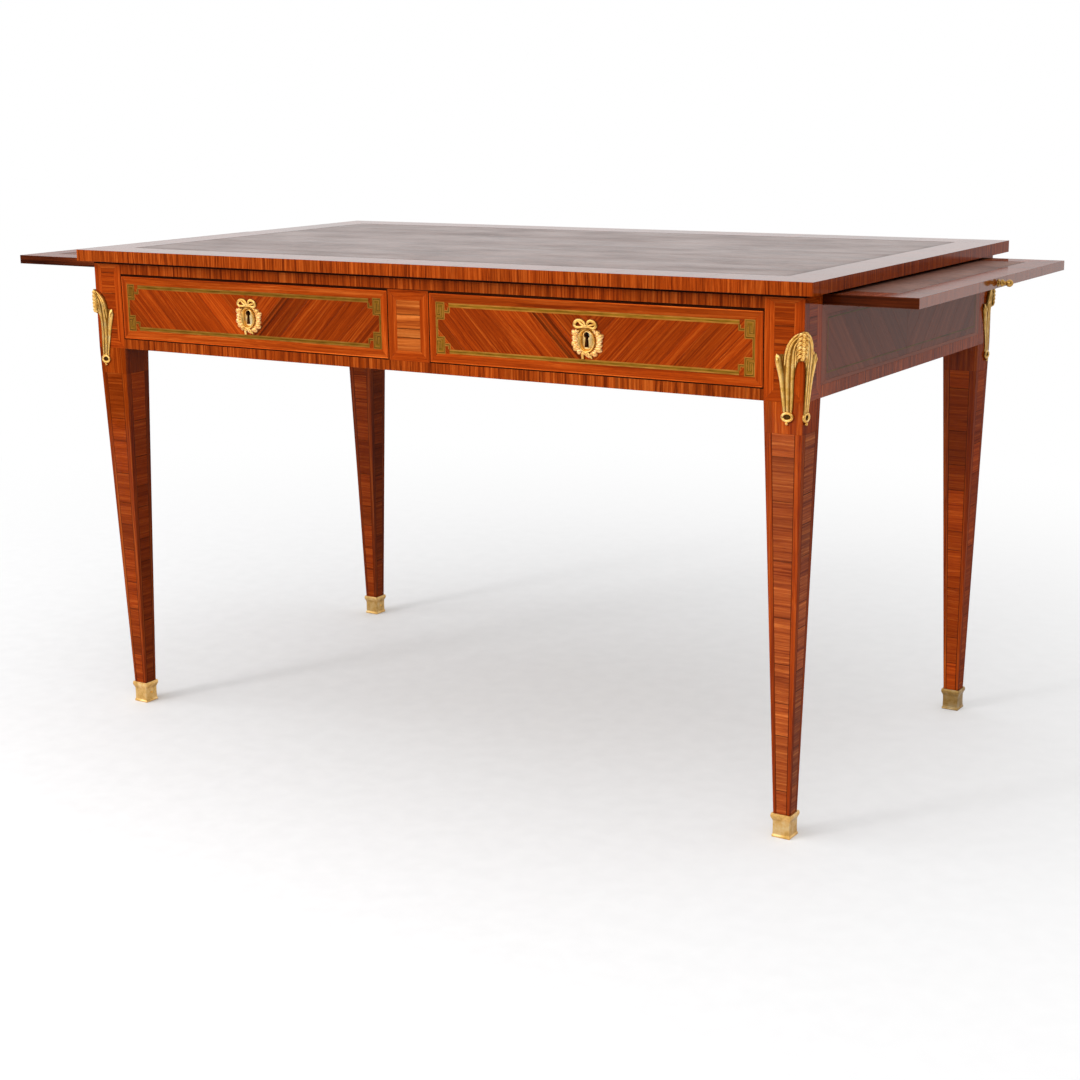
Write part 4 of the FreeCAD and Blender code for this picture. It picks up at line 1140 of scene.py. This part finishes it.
# Painted shade: the mount that gets the darker gilt
shaded_mount = ("back", "right")
ring_place = (14.6 * mm, 113.0 * mm)
ring_radii = (7.2 * mm, 5.2 * mm)
ring_tube = 2.2 * mm
ring_lift = 1.2 * mm
ring_floor = [(0.1 * mm, -0.2 * mm), (4.4 * mm, -0.2 * mm), (4.4 * mm, 0.3 * mm), (0.1 * mm, 0.3 * mm)]
# Painted shade: a near-black disc under the ring, so its hole reads dark
ring_hole_shade = (0.10, 0.08, 0.06)
mount_drop = 2.3 * mm
drop_lift = 1.5 * mm
drop_tuck = 1 * mm

# Husks down the arris: rows of a, b, d, width and height of each lobe, its side and how ridged it is
husk_count = 6
husk_first = 0.4
husk_pitch = 5.7
husk_swell = 0.22
husk_bead = 3.0 * mm
husk_bead_lift = 1.2 * mm
side_lobe = [(0.6, 0, 2.2, 2, 1.8), (3.6, 2.4, 1.6, 4.6, 3.2), (6.4, 6.6, -1.2, 1.6, 1.4)]
middle_lobe = [(0, -0.5, 1.0, 2.5, 1.6), (0, 3, 3.0, 6.0, 3.2), (0, 7.6, 3.4, 1.8, 1.6)]
husk_lobes = [(side_lobe, -1, 0.0), (side_lobe, 1, 0.0), (middle_lobe, 1, 0.5)]


def dress_mount(end, side):
    node = f"corner_mount_{end}_{side}"
    low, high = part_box(node)
    way_x, way_y = sides[side], ends[end]
    arris = Vector((way_x * body_x, way_y * -front_y, high.z))
    drift, lean = mount_drift.get((end, side), (0.0, 0.0))
    shells = Shells()
    down = Vector((0, 0, -1))
    for along, out, way in (((-way_x, 0, 0), (0, way_y, 0), 1), ((0, -way_y, 0), (way_x, 0, 0), -1)):
        aside = Vector(along) * way
        mount_wing(shells, Face(arris + aside * drift, along, down + aside * lean, out), high.z - low.z)
    aside = Vector((-way_x, way_y, 0)) / 2
    spine = Face(arris + aside * drift, (way_y, -way_x, 0), down + aside * lean, (way_x, way_y, 0))
    mount_spine(shells, spine)
    look = shaded_gilt if (end, side) == shaded_mount else gilt
    piece(f"{node}_gilt", shells, "gilt_bronze", [node], looks=[look])


def mount_wing(shells, face, tall):
    """One face of the mount: folds that spring from the spine, gather in a reeded tail and end in a ring."""
    outline = [Vector((u, v)) * mm for u, v in mount_outline]
    plate = [[face.at(p.x, p.y, d) for p in outline] for d in mount_plate]
    # Plate and bed carry the painted shade tint
    shells.loft(plate, [hollow_shade_tint] * (2 * len(outline)))
    strip(shells, face, mount_bed, count=28, arch=10, tint=hollow_shade_tint)
    for count, rows in mount_ribs:
        strip(shells, face, rows, count=count)
    # Painted shade: dark disc behind the ring's hole
    turned(shells, face, ring_place, ring_floor, tint=ring_hole_shade)
    hoop(shells, face, ring_place, ring_radii, ring_tube, ring_lift)
    ball(shells, face, (ring_place[0], tall - mount_drop + drop_tuck), mount_drop, drop_lift)


def mount_spine(shells, face):
    """Overlapping three-lobed husks down the arris, each over the one below, and a bead at the foot."""
    foot = (husk_first + husk_count * husk_pitch + 1) * mm
    ball(shells, face, (0, foot), husk_bead, husk_bead_lift)
    for k in reversed(range(husk_count)):
        v = (husk_first + k * husk_pitch) * mm
        size = mm * (1.0 + husk_swell * math.sin(math.pi * (k + 1) / (husk_count + 1)))
        for rows, way, ridge in husk_lobes:
            path = [(way * a * size, v + b * size, d * mm) for a, b, d, width, height in rows]
            widths, heights = ([row[j] * size for row in rows] for j in (3, 4))
            reed(shells, face, path, widths, heights, count=12, ridge=ridge)


# Gilt escutcheons, in millimetres from the middle of the oval where no unit is given
escutcheon_drop = 8.0 * mm
dish_half = (14.2 * mm, 16.2 * mm)
bed_half = (20.0 * mm, 18.6 * mm)
bed_levels = ((1.0, -0.1), (1.0, 1.2), (0.95, 1.9))
bed_steps = 96
bed_lobes = 15
bed_scallop = 0.06
bed_hole = 0.8

# Rings of the dish: share of the way from keyhole to rim, height and light, the painted shade of its tint
# from 0 dark to 1 full
dish_levels = [(0.0, 1.6, 0.4), (0.05, 2.2, 1.0), (0.25, 2.0, 1.0), (0.44, 1.2, 1.0), (0.49, 0.9, 0.1),
               (0.55, 2.2, 0.7), (0.62, 3.8, 1.0), (0.70, 4.9, 1.0), (0.76, 4.7, 0.2), (0.82, 4.9, 0.9),
               (0.90, 5.0, 1.0), (0.96, 4.2, 0.6), (1.0, 2.0, 0.0)]
plate_share = 0.46
plate_tint = (1.05, 1.25, 2.0)

# Leaves of the wreath: tips, rise along each, and reach, slip, width and lift of the broad and small ones
leaf_tint = (1.0, 0.95, 1.25)
leaf_tips = [(-24.5, 14), (-24, 5.5), (-26, -4.5), (-23, -12), (-16.5, -17), (-1.5, -21.5), (7, -22.5),
             (16, -19.5), (24, -12.5), (24.5, -4.5), (24.5, 3), (26, 9.5), (20, 15)]
leaf_swell = ((0.0, 0.6), (0.45, 1.2), (0.8, 0.9), (1.0, 0.0))
leaf_widths = (0.6, 1.0, 0.9, 0.35)
leaf_rows = ((1.0, 0.0, 8.0, 0.8), (0.86, 4.2, 4.8, 1.2))
leaf_heights = [1.4 * mm, 2.0 * mm, 1.8 * mm, 0.6 * mm]
leaf_sink = 1.4 * mm
leaf_root = 3.0
rim_share = 1.06
berry_share = 1.14
berry_slip = 5.2
berry_size = 1.7 * mm
berry_lift = 2.4 * mm

# Ribbons of the bow and its tails: steps, and rows of a, b, d, width and height
ribbon_sink = 1.6 * mm
ribbons = [
    (40, [(-1.5, 20.5, 2.4, 4, 2), (-5, 26.2, 2.2, 4.8, 2), (-11, 28, 1.8, 5.4, 2),
          (-17.4, 26.4, 1.6, 5.4, 2), (-20, 21.4, 1.5, 5.2, 2), (-16, 18.6, 1.7, 4.6, 2), (-8, 19, 2.0, 4, 2),
          (-1.5, 20.5, 2.4, 3.6, 2)]),
    (40, [(0.5, 20.5, 2.4, 4, 2), (2.6, 26.4, 2.2, 4.8, 2), (7, 28, 1.9, 5.4, 2), (12, 26, 1.7, 5.4, 2),
          (14.4, 21, 1.6, 5.2, 2), (11.2, 18, 1.7, 4.6, 2), (6, 18.6, 2.0, 4, 2), (0.5, 20.5, 2.4, 3.6, 2)]),
    (22, [(-4, 20.8, 2.6, 3.4, 1.8), (-8, 23, 2.6, 4, 1.8), (-12.5, 26.5, 2.2, 3, 1.8)]),
    (22, [(2.4, 20.6, 2.6, 2.8, 1.8), (7, 22, 2.6, 3.4, 1.8), (12.5, 23, 2.2, 2.6, 1.8)]),
    (22, [(-4.4, 19.4, 2.2, 4.6, 1.8), (-0.8, 20.4, 2.8, 6, 2.6), (2.8, 19.4, 2.2, 4.6, 1.8)]),
    (22, [(-4.5, -16, 2.4, 3.6, 1.6), (-6.6, -18.5, 2.4, 4.6, 2.0), (-7, -22, 1.6, 4.6, 1.8),
          (-7, -25.4, 1.0, 4.2, 1.4)]),
    (22, [(1.0, -16, 2.4, 3.6, 1.6), (4.2, -18.5, 2.6, 4.6, 2.0), (6, -21, 2.0, 5, 1.8),
          (8, -24, 1.2, 2.2, 1.0)]),
    (22, [(-4, -17.2, 2.4, 3.4, 1.6), (-0.5, -16.4, 3.0, 5, 2.4), (3, -17.2, 2.4, 3.4, 1.6)])]


def keyhole_outline(count):
    """The keyhole's edge from the top round to the left, evenly stepped: a round eye over a flared slot."""
    radius, neck, flare, tail = 4.4 * mm, 2.1 * mm, 3.5 * mm, 16.6 * mm
    opening = math.asin(neck / radius)
    turns = [k / 16 * (math.pi - opening) for k in range(17)]
    left = [Vector((-radius * math.sin(t), radius * math.cos(t))) for t in turns] + [Vector((-flare, -tail))]
    outline = left + [Vector((-p.x, p.y)) for p in reversed(left[1:])] + [left[0]]
    lengths = [0.0]
    for p, q in zip(outline, outline[1:]):
        lengths.append(lengths[-1] + (q - p).length)
    result, i = [], 0
    for k in range(count):
        goal = lengths[-1] * k / count
        while lengths[i + 1] < goal:
            i += 1
        share = (goal - lengths[i]) / (lengths[i + 1] - lengths[i])
        result.append(outline[i].lerp(outline[i + 1], share))
    return result


def dress_escutcheon(side):
    low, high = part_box(f"drawer_{side}_front")
    middle = Vector(((low.x + high.x) / 2, low.y, high.z - keyhole_drop - escutcheon_drop))
    face = upright(middle, (0, -1, 0))
    shells = Shells()
    dish(shells, face)
    wreath(shells, face)
    for count, rows in ribbons:
        strip(shells, face, rows, sink=ribbon_sink, count=count)
    piece(f"escutcheon_{side}_gilt", shells, "gilt_bronze", [f"escutcheon_{side}"], f"{side}_drawer")


def dish(shells, face):
    """The moulded oval round the keyhole."""
    count = 72
    hole = [p + Vector((0, escutcheon_drop)) for p in keyhole_outline(count)]
    turns = round_steps(count)
    oval = [Vector((-dish_half[0] * math.sin(t), dish_half[1] * math.cos(t))) for t in turns]
    rings, tints = [], []
    for share, level, light in dish_levels:
        rings.append([face.at(*p.lerp(q, share), level * mm) for p, q in zip(hole, oval)])
        tints += [plate_tint if share < plate_share else shade(light)] * count
    for edge in (oval, hole):
        rings.append([face.at(*p, 0.0) for p in edge])
        tints += [shade(0.0)] * count
    shells.loft(rings, tints, closed=True)


def wreath(shells, face):
    """A wreath of broad overlapping leaves on a scalloped bed, with small leaves and berries over them."""
    turns = round_steps(bed_steps)
    rings = []
    for grow, level in bed_levels:
        reach = [grow + bed_scallop * abs(math.sin(bed_lobes * t / 2)) for t in turns]
        rings.append([face.at(bed_half[0] * r * math.cos(t), bed_half[1] * r * math.sin(t), level * mm)
                      for r, t in zip(reach, turns)])
    for level in (1.9, -0.1):
        rings.append([face.at(bed_hole * dish_half[0] * math.cos(t), bed_hole * dish_half[1] * math.sin(t),
                              level * mm) for t in turns])
    # The bed carries the painted shade tint, so the gaps between leaves read dark
    shells.loft(rings, [hollow_shade_tint] * (len(turns) * len(rings)), closed=True)
    for u, v in leaf_tips:
        tip = Vector((u, v)) * mm
        rise = Vector((-tip.y, tip.x)).normalized() * (1 if u > 0 else -1)
        turn = math.atan2(tip.y / dish_half[1], tip.x / dish_half[0])
        rim = rim_share * Vector((dish_half[0] * math.cos(turn), dish_half[1] * math.sin(turn)))
        for reach, slip, width, lift in leaf_rows:
            root = rim - rise * (leaf_root - slip) * mm
            end = tip * reach + rise * slip * mm
            path = [(*root.lerp(end, share), (lift + swell) * mm) for share, swell in leaf_swell]
            reed(shells, face, path, [w * width * mm for w in leaf_widths], leaf_heights, count=14, ridge=0.3,
                 sink=leaf_sink, tint=leaf_tint)
        ball(shells, face, rim * berry_share + rise * berry_slip * mm, berry_size, berry_lift, 12)


# Floor, light and camera
floor_radius = 3.0
floor_corners = 96
floor_middle = (-0.3, -0.25, 0.0)
floor_tones = (0.3, (0.835, 0.835, 0.84)), (0.7, (0.865, 0.865, 0.87))
floor_bounce = (0.48, 0.48, 0.48, 1.0)
white = (1, 1, 1, 1)
lamp_aim = Vector((0, 0, 0.5))


def set_floor():
    """A pale round floor that fades to the white behind it and keeps the shadow."""
    mesh = bpy.data.meshes.new("floor")
    points = [(floor_radius * math.cos(t), floor_radius * math.sin(t), 0) for t in round_steps(floor_corners)]
    mesh.from_pydata(points, [], [list(range(floor_corners))])
    floor = linked("floor", mesh)
    look = new_look("pale_floor")
    place = look.place()
    spot = look.node("VectorMath", {0: place, 1: floor_middle}, operation="DISTANCE").outputs["Value"]
    far = look.stretch(spot, 0.3, 2.6, interpolation_type="SMOOTHSTEP")
    rays = look.node("LightPath", {}).outputs
    seen = rays["Is Camera Ray"]
    share = look.maths("MULTIPLY", far, seen)
    glow = look.node("Emission", {"Color": white, "Strength": 1.0}).outputs[0]
    paper = look.noise(place, (30.0, 30.0, 30.0), detail=3.0)
    colour = look.ramp(paper, floor_tones)
    colour = look.mix(look.maths("MAXIMUM", seen, rays["Is Glossy Ray"]), floor_bounce, colour)
    look.finish(base_color=colour, roughness=0.75)
    shader = look.tree.nodes["Principled BSDF"].outputs[0]
    both = look.node("MixShader", {0: share, 1: shader, 2: glow}).outputs[0]
    look.feed(look.tree.nodes["Material Output"].inputs["Surface"], both)
    mesh.materials.append(look.owner)


def set_world():
    """White where seen, brighter overhead as light; reflected, white behind the table and dim in front."""
    look = Look(bpy.data.worlds.new("studio"))
    bpy.context.scene.world = look.owner
    rays = look.node("LightPath", {}).outputs
    parts = look.node("SeparateXYZ", {0: look.place("Generated")}).outputs
    room = look.stretch(parts["Y"], -0.55, 0.25, 0.10, 1.0, interpolation_type="SMOOTHSTEP")
    sky = look.stretch(parts["Z"], 0.0, 0.9, 0.14, 1.0)
    shiny = look.node("Mix", {0: rays["Is Glossy Ray"], 2: sky, 3: room}).outputs[0]
    strength = look.node("Mix", {0: rays["Is Camera Ray"], 2: shiny, 3: 1.0}).outputs[0]
    background = look.tree.nodes["Background"].inputs
    look.feed(background["Strength"], strength)
    look.feed(background["Color"], white)


def set_lamp(name, place, wide, high, power, mirrored=True):
    """An oval soft lamp that looks at the table, and shows in polished surfaces or not."""
    lamp = bpy.data.lights.new(name, "AREA")
    lamp.shape = "ELLIPSE"
    lamp.size = wide
    lamp.size_y = high
    lamp.energy = power
    made = linked(name, lamp)
    made.location = place
    made.rotation_euler = (lamp_aim - Vector(place)).to_track_quat("-Z", "Y").to_euler()
    made.visible_glossy = mirrored


camera_place = Vector((1.656738, -2.587724, 1.010476))
camera_yaw = 0.570
camera_pitch = -0.232
camera_roll = -0.014
camera_focal = 1901.921
image_width = 1080
sensor = 36.0


def set_camera():
    """The photograph's own viewpoint: turned to the left of +Y, tipped down and hardly rolled."""
    data = bpy.data.cameras.new("camera")
    data.sensor_width = sensor
    data.lens = camera_focal / image_width * sensor
    made = linked("camera", data)
    turn = Matrix.Rotation(camera_yaw, 4, "Z") @ Matrix.Rotation(math.pi / 2 + camera_pitch, 4, "X")
    made.matrix_world = Matrix.Translation(camera_place) @ turn @ Matrix.Rotation(camera_roll, 4, "Z")
    bpy.context.scene.camera = made


dress_cad_nodes()
dress_top()
leather_panel("top_leather_panel", "top_leather", "carcass")
dress_front_frame()
dress_back_apron()
for end_name in ends:
    for side_name in sides:
        dress_leg(end_name, side_name)
        dress_sabot(end_name, side_name)
        dress_mount(end_name, side_name)
for side_name in sides:
    dress_side_apron(side_name)
    dress_drawer(side_name)
    dress_escutcheon(side_name)
    dress_slide(side_name)
set_floor()
set_world()
set_lamp("key_light", (-3.0, -4.2, 2.9), 8.5, 5.0, 215)
set_lamp("shadow_light", (-2.6, -5.0, 2.4), 1.1, 1.1, 80, mirrored=False)
set_lamp("fill_light", (1.6, -3.6, 3.0), 3.4, 3.4, 45)
set_camera()
bpy.context.scene.view_settings.view_transform = "Standard"
